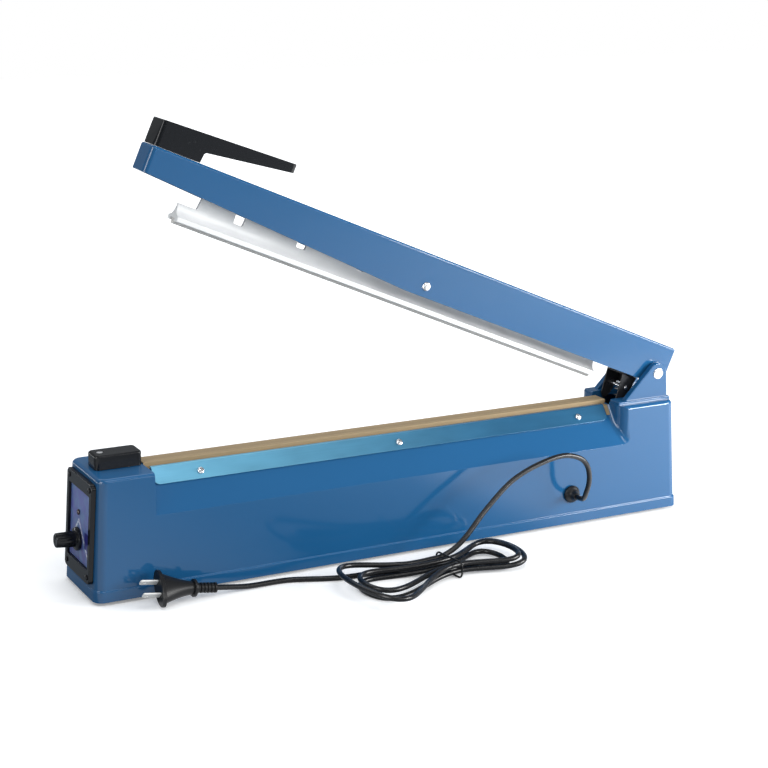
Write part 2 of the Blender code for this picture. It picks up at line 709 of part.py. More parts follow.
def make_housing(root):
    """Moulded base: skin, hollow, sloping sides, hinge platform and ears, bosses and openings."""
    housing = piece("housing", housing_skin(), blue_plastic(), root)
    reach = BASE_WIDTH
    slopes = prism(slope_outline(0, reach), SLOPE_START - OVERRUN, SLOPE_END + RAMP_ROUND + OVERRUN, "X")
    guide = cut(housing, slopes, root, "slopes_cutter")
    plan = prism(recess_plan(2 * reach), 0, base_z(BASE_HEIGHT + 2 * OVERRUN), "Z")
    cut(guide, plan, root, "slopes_plan", "INTERSECT")
    platform = box((PLATFORM_START, -PLATFORM_HALF, base_z(BASE_HEIGHT) - BASE_WALL / 2),
                   (PLATFORM_END, PLATFORM_HALF, base_z(BASE_HEIGHT + PLATFORM_RISE)),
                   EAR_EDGE_ROUND)
    cut(housing, platform, root, "hinge_platform", "UNION")
    outline = ear_outline()
    for side, name in ((-1, "front_ear"), (1, "rear_ear")):
        low, high = sorted((side * EAR_OUTER, side * (EAR_OUTER - EAR_THICK)))
        ear = prism(outline, low, high, "Y")
        rims = [edge for edge in ear.edges if abs(edge.verts[0].co.y - edge.verts[1].co.y) < GAP]
        bmesh.ops.bevel(ear, geom=rims, offset=EAR_EDGE_ROUND, segments=2, profile=0.5,
                        affect="EDGES", clamp_overlap=True)
        cut(housing, ear, root, name, "UNION")
    cut_hollow(housing, root)
    add_bosses(housing, root)
    pin_z = base_z(BASE_HEIGHT + HINGE_RISE)
    bore = rod(HINGE_PIN_RADIUS + GAP, -EAR_OUTER - OVERRUN, EAR_OUTER + OVERRUN,
               axis=(0, 1, 0), centre=(HINGE_X, 0, pin_z))
    cut(housing, bore, root, "hinge_bore")
    slot = box((SLOT_START, -SLOT_HALF, base_z(BASE_HEIGHT / 2)),
               (SLOT_END, SLOT_HALF, base_z(BASE_HEIGHT + OVERRUN)))
    cut(housing, slot, root, "lever_slot")
    window = prism(rounded_rectangle(BEZEL_WIDTH / 2 - BEZEL_SIDE - GAP - WINDOW_MARGIN / 2,
                                     BEZEL_HEIGHT / 2 - BEZEL_TOP - WINDOW_MARGIN / 2, BEZEL_SIDE),
                   -BASE_CORNER, BASE_CORNER, "X")
    cut(housing, window, panel_frame(root), "panel_window")
    gland_hole = rod(GLAND_NECK + GAP, -OVERRUN, OVERRUN + BASE_WALL, axis=(0, 1, 0),
                     centre=(GLAND_X, -side_at(GLAND_HEIGHT), base_z(GLAND_HEIGHT)))
    cut(housing, gland_hole, root, "gland_hole")
    cut_screw_holes(housing, root)
    return housing


def cut_hollow(housing, root):
    """Room inside the walls, kept below the sloping sides."""
    hollow = loft([housing_ring(-OVERRUN, BASE_WALL), housing_ring(PLINTH_HEIGHT, BASE_WALL),
                   housing_ring(PLINTH_HEIGHT + PLINTH_STEP, BASE_WALL + PLINTH_STEP),
                   housing_ring(BASE_HEIGHT - BASE_WALL, BASE_WALL + PLINTH_STEP)])
    guide = cut(housing, hollow, root, "hollow_cutter")
    keep = prism(slope_outline(BASE_WALL, BASE_WIDTH), SLOPE_START - BASE_WALL,
                 SLOPE_END + RAMP_ROUND, "X")
    cut(guide, keep, root, "hollow_limit")


def foot_places():
    rows = (FOOT_INSET_X + BASE_CORNER / 2, BASE_LENGTH - FOOT_INSET_X - BASE_CORNER / 2)
    return [(x, y) for x in rows for y in (-FOOT_INSET_Y, FOOT_INSET_Y)]


def plate_top():
    return FOOT_HEIGHT + GAP + PLATE_THICK


def add_bosses(housing, root):
    """Screw posts that hang from the housing's end walls down to the bottom plate."""
    for number, (x, y) in enumerate(foot_places(), 1):
        wall_x = end_at(BOSS_HEIGHT) + PLINTH_STEP + BASE_WALL / 2
        if x > BASE_LENGTH / 2:
            wall_x = BASE_LENGTH - wall_x
        low, high = sorted((x, wall_x))
        rib = box((low, y - BASE_WALL / 2, plate_top() + BASE_WALL),
                  (high, y + BASE_WALL / 2, plate_top() + BOSS_HEIGHT - BASE_WALL))
        post = rod(BOSS_RADIUS, plate_top() + GAP, plate_top() + GAP + BOSS_HEIGHT,
                   SMALL_STEPS, centre=(x + GAP, y, 0))
        cut(housing, rib, root, f"boss_rib_{number}", "UNION")
        cut(housing, post, root, f"boss_{number}", "UNION")
    for number, (x, y) in enumerate(foot_places(), 1):
        hole = rod(BASE_SCREW_RADIUS + GAP, 0, BASE_SCREW_LENGTH + plate_top(), SMALL_STEPS,
                   centre=(x, y, 0))
        cut(housing, hole, root, f"boss_hole_{number}")


def clamp_screw_places():
    step = (CLAMP_SCREW_LAST - CLAMP_SCREW_FIRST) / (CLAMP_SCREW_COUNT - 1)
    return [CLAMP_SCREW_FIRST + step * i for i in range(CLAMP_SCREW_COUNT)]


def slope_frame(side):
    """Point on the ridge's edge, the direction down the slope and the outward normal."""
    edge = Vector((0, side * LAND_HALF, base_z(LAND_HEIGHT)))
    down = Vector((0, side * cos(slope_angle()), -sin(slope_angle())))
    normal = Vector((0, side * sin(slope_angle()), cos(slope_angle())))
    return edge, down, normal


def cut_screw_holes(housing, root):
    """Pilot holes for the clamp screws and the cover's screw."""
    for side, label in ((-1, "front"), (1, "rear")):
        edge, down, normal = slope_frame(side)
        for number, x in enumerate(clamp_screw_places(), 1):
            seat = edge + down * CLAMP_SCREW_DOWN + Vector((x, 0, 0))
            hole = rod(CLAMP_SCREW_RADIUS + GAP, -CLAMP_SCREW_LENGTH - BASE_WALL, OVERRUN,
                       SMALL_STEPS, normal, seat)
            cut(housing, hole, root, f"{label}_clamp_hole_{number}")
    hole = rod(COVER_SCREW_RADIUS + GAP, -COVER_SCREW_LENGTH, OVERRUN, SMALL_STEPS,
               centre=(COVER_SCREW_X, 0, base_z(BASE_HEIGHT)))
    cut(housing, hole, root, "cover_screw_hole")


def make_bottom(root):
    """Steel plate inside the rim, with a rubber foot and a screw at each corner."""
    half_x = BASE_LENGTH / 2 - BASE_WALL - PLATE_PLAY
    half_y = BASE_WIDTH / 2 - BASE_WALL - PLATE_PLAY
    outline = [(BASE_LENGTH / 2 + x, y)
               for x, y in rounded_rectangle(half_x, half_y, BASE_CORNER - BASE_WALL)]
    plate = piece("bottom_plate", prism(outline, FOOT_HEIGHT + GAP, plate_top(), "Z"),
                  bright_steel(), root)
    for number, (x, y) in enumerate(foot_places(), 1):
        hole = rod(BASE_SCREW_RADIUS + GAP, 0, plate_top() + OVERRUN, SMALL_STEPS, centre=(x, y, 0))
        cut(plate, hole, root, f"plate_hole_{number}")
        bore = BASE_SCREW_RADIUS + GAP
        recess = BASE_SCREW_HEAD + GAP
        foot = turned([(recess, 0), (FOOT_RADIUS, 0), (FOOT_TOP_RADIUS, FOOT_HEIGHT),
                       (bore, FOOT_HEIGHT), (bore, FOOT_RECESS_DEPTH), (recess, FOOT_RECESS_DEPTH)],
                      centre=(x, y, 0), closed=True)
        piece(f"foot_{number}", foot, black_rubber(), root)
        screw = turned(screw_profile(BASE_SCREW_RADIUS, BASE_SCREW_LENGTH, BASE_SCREW_HEAD,
                                     BASE_SCREW_HEAD_HEIGHT), SMALL_STEPS, (0, 0, -1),
                       (x, y, FOOT_RECESS_DEPTH - GAP))
        piece(f"base_screw_{number}", screw, bright_steel(), root)


def bed_base():
    return base_z(LAND_HEIGHT) + GAP


def bed_top():
    return bed_base() + BED_HEIGHT


def band_base():
    return bed_top() + GAP + INSULATION_THICK + GAP


def cloth_top():
    return band_base() + BAND_THICK + GAP + CLOTH_THICK


def make_bed(root):
    """Aluminium bar on the ridge, insulation, heating band, and the cloth that covers them."""
    outline = rounded([(-BED_HALF, bed_base()), (BED_HALF, bed_base()), (BED_HALF, bed_top()),
                       (-BED_HALF, bed_top())], [0, 0, BED_EDGE, BED_EDGE], 2)
    piece("seal_bed", prism(outline, BED_START, BED_END, "X"), aluminium(), root)
    low = bed_top() + GAP
    piece("insulation_strip", box((BED_START, -INSULATION_HALF, low),
                                  (BED_END, INSULATION_HALF, low + INSULATION_THICK)),
          finish("insulation", (0.75, 0.72, 0.62), 0.7), root)
    far_end = BED_END + GAP + FAR_TERMINAL_THICK / 2
    band = prism([(BAND_START, band_base()), (far_end, band_base()),
                  (far_end, band_base() + BAND_THICK), (BAND_START, band_base() + BAND_THICK)],
                 -BAND_HALF, BAND_HALF, "Y")
    piece("heating_band", band, finish("nichrome", (0.6, 0.57, 0.53), 0.35, 1), root)
    inner = BED_HALF + GAP
    outer = inner + CLOTH_THICK
    hem_low = base_z(LAND_HEIGHT) + GAP
    top = cloth_top()
    half = [(outer + CLOTH_HEM, hem_low), (outer + CLOTH_HEM, hem_low + CLOTH_THICK),
            (outer, hem_low + CLOTH_THICK), (outer, top)]
    under = [(inner, top - CLOTH_THICK), (inner, hem_low)]
    outline = half + [(-y, z) for y, z in reversed(half)]
    outline += [(-inner, hem_low), (-inner, top - CLOTH_THICK)] + under
    piece("release_cloth", prism(outline, SLOPE_START + GAP, BED_END, "X"),
          finish("release_cloth", (0.42, 0.27, 0.13), 0.5), root)


def clamp_outline(side):
    """Section of a clamp plate: lip on the cloth's hem, bend, then down the slope."""
    angle = slope_angle()
    lift = GAP + CLOTH_THICK + GAP
    edge = Vector((LAND_HALF, base_z(LAND_HEIGHT) + lift))
    down = Vector((cos(angle), -sin(angle)))
    out = Vector((sin(angle), cos(angle)))
    bend = edge + Vector((GAP, 0))
    low_inner = bend + down * CLAMP_DROP
    low_outer = low_inner + out * CLAMP_THICK
    turn = CLAMP_THICK * tan(angle / 2)
    top_bend = bend + Vector((turn, CLAMP_THICK))
    lip_end = bend.x - CLAMP_LIP
    points = [(lip_end, bend.y), tuple(bend), tuple(low_inner), tuple(low_outer), tuple(top_bend),
              (lip_end, bend.y + CLAMP_THICK)]
    return [(side * y, z) for y, z in points]


def make_clamps(root):
    """Bright plates screwed down over the cloth's hems, one on each slope."""
    for side, label in ((-1, "front"), (1, "rear")):
        plate = piece(f"{label}_clamp_plate",
                      prism(clamp_outline(side), CLAMP_START, CLAMP_END, "X"), bright_steel(), root)
        edge, down, normal = slope_frame(side)
        lift = GAP + CLOTH_THICK + GAP
        rise = lift * cos(slope_angle()) + GAP * sin(slope_angle())
        for number, x in enumerate(clamp_screw_places(), 1):
            seat = edge + down * CLAMP_SCREW_DOWN + Vector((x, 0, 0))
            hole = rod(CLAMP_SCREW_RADIUS + GAP, -OVERRUN, OVERRUN, SMALL_STEPS, normal, seat)
            cut(plate, hole, root, f"{label}_plate_hole_{number}")
            head_seat = seat + normal * (rise + CLAMP_THICK + GAP)
            screw = turned(screw_profile(CLAMP_SCREW_RADIUS, CLAMP_SCREW_LENGTH, CLAMP_SCREW_HEAD,
                                         CLAMP_SCREW_HEAD_HEIGHT), SMALL_STEPS, normal, head_seat)
            piece(f"{label}_clamp_screw_{number}", screw, bright_steel(), root)


def make_terminals(root):
    """Brass terminals at the band's two ends, and the black cover over the near one."""
    floor = base_z(BASE_HEIGHT) + GAP
    near = piece("near_terminal", box((TERMINAL_START, -TERMINAL_HALF, floor),
                                      (TERMINAL_END, TERMINAL_HALF, floor + TERMINAL_HEIGHT),
                                      BED_EDGE), brass(), root)
    cut(near, box((TERMINAL_END - TERMINAL_JAW, -BAND_HALF - GAP, band_base() - GAP),
                  (TERMINAL_END + OVERRUN, BAND_HALF + GAP, band_base() + BAND_THICK + GAP)),
        root, "terminal_jaw")
    start = BED_END + GAP
    top = band_base() - GAP
    piece("far_terminal", box((start, -FAR_TERMINAL_HALF, top - FAR_TERMINAL_DROP),
                              (start + FAR_TERMINAL_THICK, FAR_TERMINAL_HALF, top)), brass(), root)
    top = base_z(BASE_HEIGHT) + COVER_HEIGHT
    cover = piece("terminal_cover", box((COVER_START, -COVER_HALF, floor),
                                        (COVER_END, COVER_HALF, top), COVER_ROUND, 3),
                  black_plastic(), root)
    cut(cover, box((COVER_START + COVER_WALL + FOOT_RADIUS * 2, -COVER_HALF + COVER_WALL,
                    floor - OVERRUN),
                   (COVER_END + OVERRUN, COVER_HALF - COVER_WALL, top - COVER_WALL * 2)),
        root, "cover_hollow")
    seat = Vector((COVER_SCREW_X, 0, top - COVER_SCREW_HEAD_HEIGHT))
    cut(cover, turned([(0, -BASE_HEIGHT / 4), (COVER_SCREW_RADIUS + GAP, -BASE_HEIGHT / 4),
                       (COVER_SCREW_RADIUS + GAP, 0), (COVER_SCREW_HEAD + GAP, 0),
                       (COVER_SCREW_HEAD + GAP, OVERRUN), (0, OVERRUN)], SMALL_STEPS,
                      centre=seat), root, "cover_counterbore")
    screw = turned(screw_profile(COVER_SCREW_RADIUS, COVER_SCREW_LENGTH, COVER_SCREW_HEAD,
                                 COVER_SCREW_HEAD_HEIGHT), SMALL_STEPS,
                   centre=seat + Vector((0, 0, GAP)))
    piece("cover_screw", screw, bright_steel(), root)


def panel_frame(root):
    """Frame on the leaning end face: X into the housing, Y across, Z up the face."""
    frame = bpy.data.objects.get("panel_frame")
    if frame is None:
        lean = atan2(END_DRAFT, BASE_HEIGHT)
        turn = Matrix.Rotation(lean, 3, "Y")
        frame = empty("panel_frame", root, (end_at(BEZEL_CENTRE) + PLINTH_STEP, 0,
                                            base_z(BEZEL_CENTRE)), turn)
    return frame


def label_front():
    return -GAP - BEZEL_PROUD + LABEL_SET_BACK


def make_panel(root):
    """Bezel, label, lamp, control, board and screws on the panel end."""
    frame = panel_frame(root)
    half_y, half_z = BEZEL_WIDTH / 2, BEZEL_HEIGHT / 2
    outline = rounded_rectangle(half_y, half_z, BEZEL_CORNER)
    front = -GAP - BEZEL_PROUD
    small = rounded_rectangle(half_y - BEZEL_EDGE, half_z - BEZEL_EDGE, BEZEL_CORNER - BEZEL_EDGE)
    bezel = piece("panel_bezel", loft([[Vector((-GAP, y, z)) for y, z in outline],
                                       [Vector((front + BEZEL_EDGE, y, z)) for y, z in outline],
                                       [Vector((front, y, z)) for y, z in small]]),
                  black_plastic(), frame)
    opening = [(-half_y + BEZEL_SIDE, -half_z + BEZEL_BOTTOM),
               (half_y - BEZEL_SIDE, -half_z + BEZEL_BOTTOM),
               (half_y - BEZEL_SIDE, half_z - BEZEL_TOP),
               (-half_y + BEZEL_SIDE, half_z - BEZEL_TOP)]
    cut(bezel, prism(rounded(opening, [BEZEL_EDGE] * 4, 2), -OVERRUN - BEZEL_PROUD, OVERRUN, "X"),
        frame, "bezel_opening")
    label_points = [(y - GAP if y > 0 else y + GAP, z - GAP if z > 0 else z + GAP)
                    for y, z in opening]
    label = piece("panel_label", prism(label_points, label_front(), label_front() + LABEL_THICK,
                                       "X"), finish("label_violet", (0.2, 0.2, 0.6), 0.45), frame)
    for name, height, radius in (("control_hole", -KNOB_DROP, BUSH_RADIUS + GAP),
                                 ("lamp_hole", LAMP_RISE, LAMP_BODY_RADIUS + GAP)):
        cut(label, rod(radius, -OVERRUN, OVERRUN, SMALL_STEPS, (1, 0, 0),
                       (label_front(), PANEL_AXIS_Y, height)), frame, name)
    for number, (side, end) in enumerate(((-1, -1), (1, -1), (-1, 1), (1, 1)), 1):
        seat = (front, side * (half_y - BEZEL_SCREW_INSET_X), end * (half_z - BEZEL_SCREW_INSET_Z))
        hole = rod(BEZEL_SCREW_RADIUS + GAP, -OVERRUN, BEZEL_SCREW_LENGTH + BASE_WALL, SMALL_STEPS,
                   (1, 0, 0), seat)
        cut(bezel, hole, frame, f"bezel_hole_{number}")
        pilot = rod(BEZEL_SCREW_RADIUS + GAP, 0, BEZEL_SCREW_LENGTH + BASE_WALL, SMALL_STEPS,
                    (1, 0, 0), seat)
        cut(bpy.data.objects["housing"], pilot, frame, f"bezel_pilot_{number}")
        screw = turned(screw_profile(BEZEL_SCREW_RADIUS, BEZEL_SCREW_LENGTH, BEZEL_SCREW_HEAD,
                                     BEZEL_SCREW_HEAD_HEIGHT), SMALL_STEPS, (-1, 0, 0),
                       Vector(seat) - Vector((GAP, 0, 0)))
        piece(f"bezel_screw_{number}", screw, bright_steel(), frame)
    make_lamp(frame)
    make_control(frame)


def make_lamp(frame):
    """Lamp lens clipped through the label."""
    seat = -GAP
    lens = turned([(0, -LAMP_BODY_LENGTH), (LAMP_BODY_RADIUS, -LAMP_BODY_LENGTH),
                   (LAMP_BODY_RADIUS, -seat), (LAMP_RADIUS, -seat),
                   (LAMP_RADIUS, LAMP_PROUD / 2), (LAMP_RADIUS * cos(pi / 4), LAMP_PROUD),
                   (0, LAMP_PROUD + GAP)], SMALL_STEPS, (-1, 0, 0),
                  (label_front(), PANEL_AXIS_Y, LAMP_RISE))
    piece("lamp_lens", lens, finish("lamp_red", (0.18, 0.01, 0.01), 0.2), frame)


def board_front():
    return label_front() + LABEL_THICK + GAP + CONTROL_DEPTH + GAP


def make_control(frame):
    """Rotary control behind the label, its board with parts, and the time knob on its shaft."""
    centre = (0, PANEL_AXIS_Y, -KNOB_DROP)
    back = label_front() + LABEL_THICK + GAP
    control = turned([(0, back + CONTROL_DEPTH), (CONTROL_RADIUS, back + CONTROL_DEPTH),
                      (CONTROL_RADIUS, back), (BUSH_RADIUS, back), (BUSH_RADIUS, label_front()),
                      (SHAFT_RADIUS, label_front()), (SHAFT_RADIUS, label_front() - SHAFT_LENGTH),
                      (0, label_front() - SHAFT_LENGTH)], ROUND_STEPS, (1, 0, 0), centre)
    piece("time_control", control, bright_steel(), frame)
    board_back = board_front() + BOARD_THICK
    board = piece("timer_board", box((board_front(), -BOARD_WIDTH / 2, -BOARD_HEIGHT / 2),
                                     (board_back, BOARD_WIDTH / 2, BOARD_HEIGHT / 2)),
                  finish("board_green", (0.03, 0.2, 0.08), 0.5), frame)
    relay = box((board_back - BOARD_THICK / 2, -BOARD_RELAY[1] / 2, -BOARD_RELAY[0] / 2),
                (board_back + BOARD_RELAY[2], BOARD_RELAY[1] / 2, BOARD_RELAY[0] / 2))
    cut(board, relay, frame, "relay", "UNION")
    can = rod(BOARD_CAPACITOR_RADIUS, board_back - BOARD_THICK / 2,
              board_back + BOARD_CAPACITOR_HEIGHT, SMALL_STEPS, (1, 0, 0),
              (0, BOARD_WIDTH / 4, BOARD_HEIGHT / 3))
    cut(board, can, frame, "capacitor", "UNION")
    shaft = empty("knob_axis", frame, (label_front() - GAP, PANEL_AXIS_Y, -KNOB_DROP))
    bore = KNOB_BORE
    flange, grip, end = KNOB_FLANGE_RADIUS, KNOB_GRIP_RADIUS, KNOB_END_RADIUS
    edge = BEZEL_EDGE
    knob = turned([(bore, 0), (flange, 0), (flange, KNOB_FLANGE_THICK - edge),
                   (flange - edge, KNOB_FLANGE_THICK), (grip, KNOB_FLANGE_THICK + edge),
                   (end, KNOB_LENGTH - edge), (end - edge, KNOB_LENGTH), (0, KNOB_LENGTH),
                   ], 2 * ROUND_STEPS, (-1, 0, 0))
    close_bore(knob, bore, KNOB_BORE_DEPTH)
    flute(knob, KNOB_FLANGE_THICK)
    piece("time_knob", knob, black_plastic(), shaft)


def close_bore(shape, radius, depth):
    """Blind bore of a turned piece whose axis runs along -X from an open ring at 0."""
    rim = [edge for edge in shape.edges if edge.is_boundary]
    made = bmesh.ops.extrude_edge_only(shape, edges=rim)
    verts = [item for item in made["geom"] if isinstance(item, bmesh.types.BMVert)]
    bmesh.ops.translate(shape, vec=(-depth, 0, 0), verts=verts)
    edges = [item for item in made["geom"] if isinstance(item, bmesh.types.BMEdge)
             and item.is_boundary]
    bmesh.ops.contextual_create(shape, geom=edges)


def flute(shape, start):
    """Shallow flutes round the grip of the knob."""
    for vert in shape.verts:
        radius = hypot(vert.co.y, vert.co.z)
        if -vert.co.x > start and radius > KNOB_BORE + GAP:
            turn = atan2(vert.co.z, vert.co.y)
            factor = 1 - KNOB_FLUTE_SHARE * (0.5 + 0.5 * cos(KNOB_FLUTE_COUNT * turn))
            vert.co.y *= factor
            vert.co.z *= factor


def make_transformer(root):
    """Laminated core with a wound middle limb, screwed to the bottom plate."""
    floor = plate_top() + GAP
    half_x, half_y = CORE_LENGTH / 2, CORE_DEPTH / 2
    core = piece("transformer_core", box((CORE_X - half_x, -half_y, floor),
                                         (CORE_X + half_x, half_y, floor + CORE_HEIGHT)),
                 finish("core_steel", (0.2, 0.2, 0.21), 0.5, 0.8), root)
    low, high = floor + CORE_YOKE, floor + CORE_HEIGHT - CORE_YOKE
    window_out = half_x - CORE_YOKE
    for side, label in ((-1, "near"), (1, "far")):
        near, far = sorted((side * CORE_LIMB / 2, side * window_out))
        cut(core, box((CORE_X + near, -half_y - OVERRUN, low),
                      (CORE_X + far, half_y + OVERRUN, high)), root, f"core_window_{label}")
    outer_x = window_out - COIL_PLAY
    outer_y = half_y + COIL_BULGE
    coil = piece("transformer_coil",
                 prism([(CORE_X + x, y) for x, y in rounded_rectangle(outer_x, outer_y, COIL_ROUND)],
                       low + COIL_PLAY, high - COIL_PLAY, "Z"),
                 finish("winding", (0.55, 0.35, 0.1), 0.5), root)
    inner_x = CORE_LIMB / 2 + GAP
    inner_y = half_y + GAP
    cut(coil, box((CORE_X - inner_x, -inner_y, low - OVERRUN),
                  (CORE_X + inner_x, inner_y, high + OVERRUN)), root, "coil_bore")
    for number, side in enumerate((-1, 1), 1):
        x = CORE_X + side * (half_x - CORE_SCREW_INSET)
        hole = rod(CORE_SCREW_RADIUS + GAP, 0, floor + CORE_HEIGHT + OVERRUN, SMALL_STEPS,
                   centre=(x, 0, 0))
        cut(core, hole, root, f"core_hole_{number}")
        cut(bpy.data.objects["bottom_plate"], rod(CORE_SCREW_RADIUS + GAP, 0, floor + OVERRUN,
                                                  SMALL_STEPS, centre=(x, 0, 0)),
            root, f"core_plate_hole_{number}")
        length = CORE_HEIGHT + GAP + PLATE_THICK + GAP
        screw = turned(screw_profile(CORE_SCREW_RADIUS, length, CORE_SCREW_HEAD,
                                     CORE_SCREW_HEAD_HEIGHT), SMALL_STEPS,
                       centre=(x, 0, floor + CORE_HEIGHT + GAP))
        piece(f"core_screw_{number}", screw, bright_steel(), root)


def make_mechanism(root):
    """Folded bracket on the bottom plate that carries the lift spring and the switch."""
    floor = plate_top() + GAP
    shelf = base_z(TOWER_SHELF)
    sheet = TOWER_SHEET
    outline = [(TOWER_START - TOWER_FLANGE, floor), (TOWER_START + sheet, floor),
               (TOWER_START + sheet, shelf - sheet), (TOWER_END - sheet, shelf - sheet),
               (TOWER_END - sheet, floor + sheet), (TOWER_END - TOWER_FLANGE, floor + sheet),
               (TOWER_END - TOWER_FLANGE, floor), (TOWER_END, floor),
               (TOWER_END, shelf), (TOWER_START, shelf), (TOWER_START, floor + sheet),
               (TOWER_START - TOWER_FLANGE, floor + sheet)]
    bracket = piece("mechanism_bracket", prism(outline, -TOWER_HALF, TOWER_HALF + sheet / 2, "Y"),
                    bright_steel(), root)
    tab = box((TAB_START, TAB_INNER, shelf - sheet / 2),
              (TAB_END, TAB_INNER + sheet, base_z(TAB_TOP)))
    cut(bracket, tab, root, "switch_tab", "UNION")
    guide = rod(GUIDE_RADIUS, shelf - sheet / 2, shelf + GUIDE_HEIGHT, SMALL_STEPS,
                centre=(SPRING_X, 0, 0))
    cut(bracket, guide, root, "spring_guide", "UNION")


def spring_points(low, high):
    """Helix with one closed coil at each end."""
    count = SPRING_TURN_COUNT * SPRING_STEPS
    points = []
    for i in range(count + 1):
        turn = 2 * pi * i / SPRING_STEPS
        share = min(max((i / SPRING_STEPS - 0.75) / (SPRING_TURN_COUNT - 1.5), 0), 1)
        dead = 2.6 * SPRING_WIRE * min(i / SPRING_STEPS, 0.75) / 0.75
        dead += 2.6 * SPRING_WIRE * max(i / SPRING_STEPS - SPRING_TURN_COUNT + 0.75, 0) / 0.75
        height = low + dead + (high - low - 5.2 * SPRING_WIRE) * share
        points.append(Vector((SPRING_X + SPRING_RADIUS * cos(turn), SPRING_RADIUS * sin(turn),
                              height)))
    return points


def least_gap(points, radius, skip):
    """Smallest gap between stretches of one tube that lie a given run of points apart."""
    least = 1.0
    for i in range(len(points) - 1):
        for j in range(i + skip, len(points) - 1):
            first = (points[i] + points[i + 1]) / 2
            second = (points[j] + points[j + 1]) / 2
            if (first - second).length < 10 * radius:
                least = min(least, segment_distance(points[i], points[i + 1], points[j],
                                                    points[j + 1]))
    return least - 2 * radius


def segment_distance(a, b, c, d):
    """Distance between segments ab and cd, sampled and refined at their ends."""
    best = 1.0
    parts = 6
    for i in range(parts + 1):
        point = a.lerp(b, i / parts)
        line = d - c
        share = min(max((point - c).dot(line) / line.length_squared, 0), 1)
        best = min(best, (point - c - line * share).length)
    return best


def make_spring(root):
    """Lift spring between the bracket's shelf and the lever's cross pin."""
    low = base_z(TOWER_SHELF) + GAP + SPRING_WIRE
    high = lever_pin_rest().z - LEVER_PIN_RADIUS - GAP - SPRING_WIRE
    points = spring_points(low, high)
    print("spring least gap mm", round(least_gap(points, SPRING_WIRE, SPRING_STEPS // 2) / MM, 3))
    tube("lift_spring", points, SPRING_WIRE, bright_steel(), root, 1)


def closed_angle():
    """Angle of the arm above level when the bar lies on the bed."""
    pin_height = base_z(BASE_HEIGHT + HINGE_RISE)
    bar_low = BAR_FOOT_BOTTOM + SILICONE_PROUD
    rise = cloth_top() + GAP + bar_low - pin_height
    reach = hypot(BAR_PIN_BACK, BAR_PIN_DROP)
    offset = atan2(BAR_PIN_DROP, BAR_PIN_BACK)
    return atan2(rise, sqrt(reach ** 2 - rise ** 2)) + offset


def arm_point(x, z, angle=OPEN_ANGLE):
    """World place of a point of the arm's own frame, measured from the panel end."""
    return Vector((HINGE_X + x * cos(angle) + z * sin(angle), 0,
                   base_z(BASE_HEIGHT + HINGE_RISE) - x * sin(angle) + z * cos(angle)))


def lever_pin_rest():
    return arm_point(-LEVER_PIN_X, -LEVER_PIN_Z)


def lever_low_closed():
    return arm_point(-LEVER_LOW_X, -LEVER_LOW, closed_angle())


def make_switch(root):
    """Snap switch on the bracket's tab; the lever's cheek presses its plunger."""
    low_point = lever_low_closed()
    top = low_point.z - GAP - PLUNGER_PROUD + SWITCH_TRAVEL - GAP
    x = low_point.x
    outer = TAB_INNER - GAP
    body = piece("micro_switch", box((x - SWITCH_LENGTH / 2, outer - SWITCH_DEPTH,
                                      top - SWITCH_HEIGHT),
                                     (x + SWITCH_LENGTH / 2, outer, top)), black_plastic(), root)
    y = outer - SWITCH_DEPTH / 2
    bore = PLUNGER_RADIUS + GAP
    cut(body, rod(bore, -PLUNGER_SHANK - SWITCH_TRAVEL - GAP, OVERRUN, SMALL_STEPS,
                  centre=(x, y, top)), root, "plunger_bore")
    axis = empty("plunger_axis", root, (x, y, top))
    plunger = turned([(0, -PLUNGER_SHANK), (PLUNGER_RADIUS, -PLUNGER_SHANK),
                      (PLUNGER_RADIUS, PLUNGER_PROUD - GAP), (PLUNGER_RADIUS - GAP, PLUNGER_PROUD),
                      (0, PLUNGER_PROUD)], SMALL_STEPS)
    piece("switch_plunger", plunger, finish("plunger_red", (0.5, 0.03, 0.02), 0.4), axis)


def make_hinge_pin(root):
    """Pin through the ears and the arm."""
    half = EAR_OUTER + HINGE_PIN_PROUD
    edge = HINGE_PIN_PROUD / 2
    radius = HINGE_PIN_RADIUS
    pin = turned([(0, -half), (radius - edge, -half), (radius, -half + edge), (radius, half - edge),
                  (radius - edge, half), (0, half)], ROUND_STEPS, (0, 1, 0),
                 (HINGE_X, 0, base_z(BASE_HEIGHT + HINGE_RISE)))
    piece("hinge_pin", pin, bright_steel(), root)


def arm_half(x):
    """Half width of the arm at a place in its own frame."""
    share = min(max((x + ARM_REACH) / ARM_REACH, 0), 1)
    return ARM_TIP_HALF + (ARM_HALF - ARM_TIP_HALF) * share


def arm_solid(inset):
    """Arm's outer shape, or its hollow when given a wall to keep."""
    tip = -ARM_REACH + inset * ARM_END_WALL / ARM_WALL
    tail = ARM_TAIL - inset
    top = ARM_TOP - inset
    below = OVERRUN if inset > 0 else 0
    outline = [(tip, top), (tip, ARM_TOP - ARM_TIP_DEPTH - below),
               (-ARM_TAPER_END, ARM_TOP - ARM_DEPTH - below),
               (tail, ARM_TOP - ARM_DEPTH - below), (tail, top)]
    shape = prism(outline, -1, 1, "Y")
    for vert in shape.verts:
        vert.co.y *= arm_half(vert.co.x) - inset
    if inset == 0:
        corners = [edge for edge in shape.edges
                   if all(vert.co.x < tip + GAP for vert in edge.verts)
                   and abs(edge.verts[0].co.y - edge.verts[1].co.y) < GAP]
        bmesh.ops.bevel(shape, geom=corners, offset=ARM_CORNER, segments=3, profile=0.5,
                        affect="EDGES")
        rims = [edge for edge in shape.edges
                if all(vert.co.z > top - GAP for vert in edge.verts)
                and len(edge.link_faces) == 2 and edge.calc_face_angle(0) > radians(60)]
        bmesh.ops.bevel(shape, geom=rims, offset=ARM_EDGE, segments=3, profile=0.5,
                        affect="EDGES", clamp_overlap=True)
    return shape


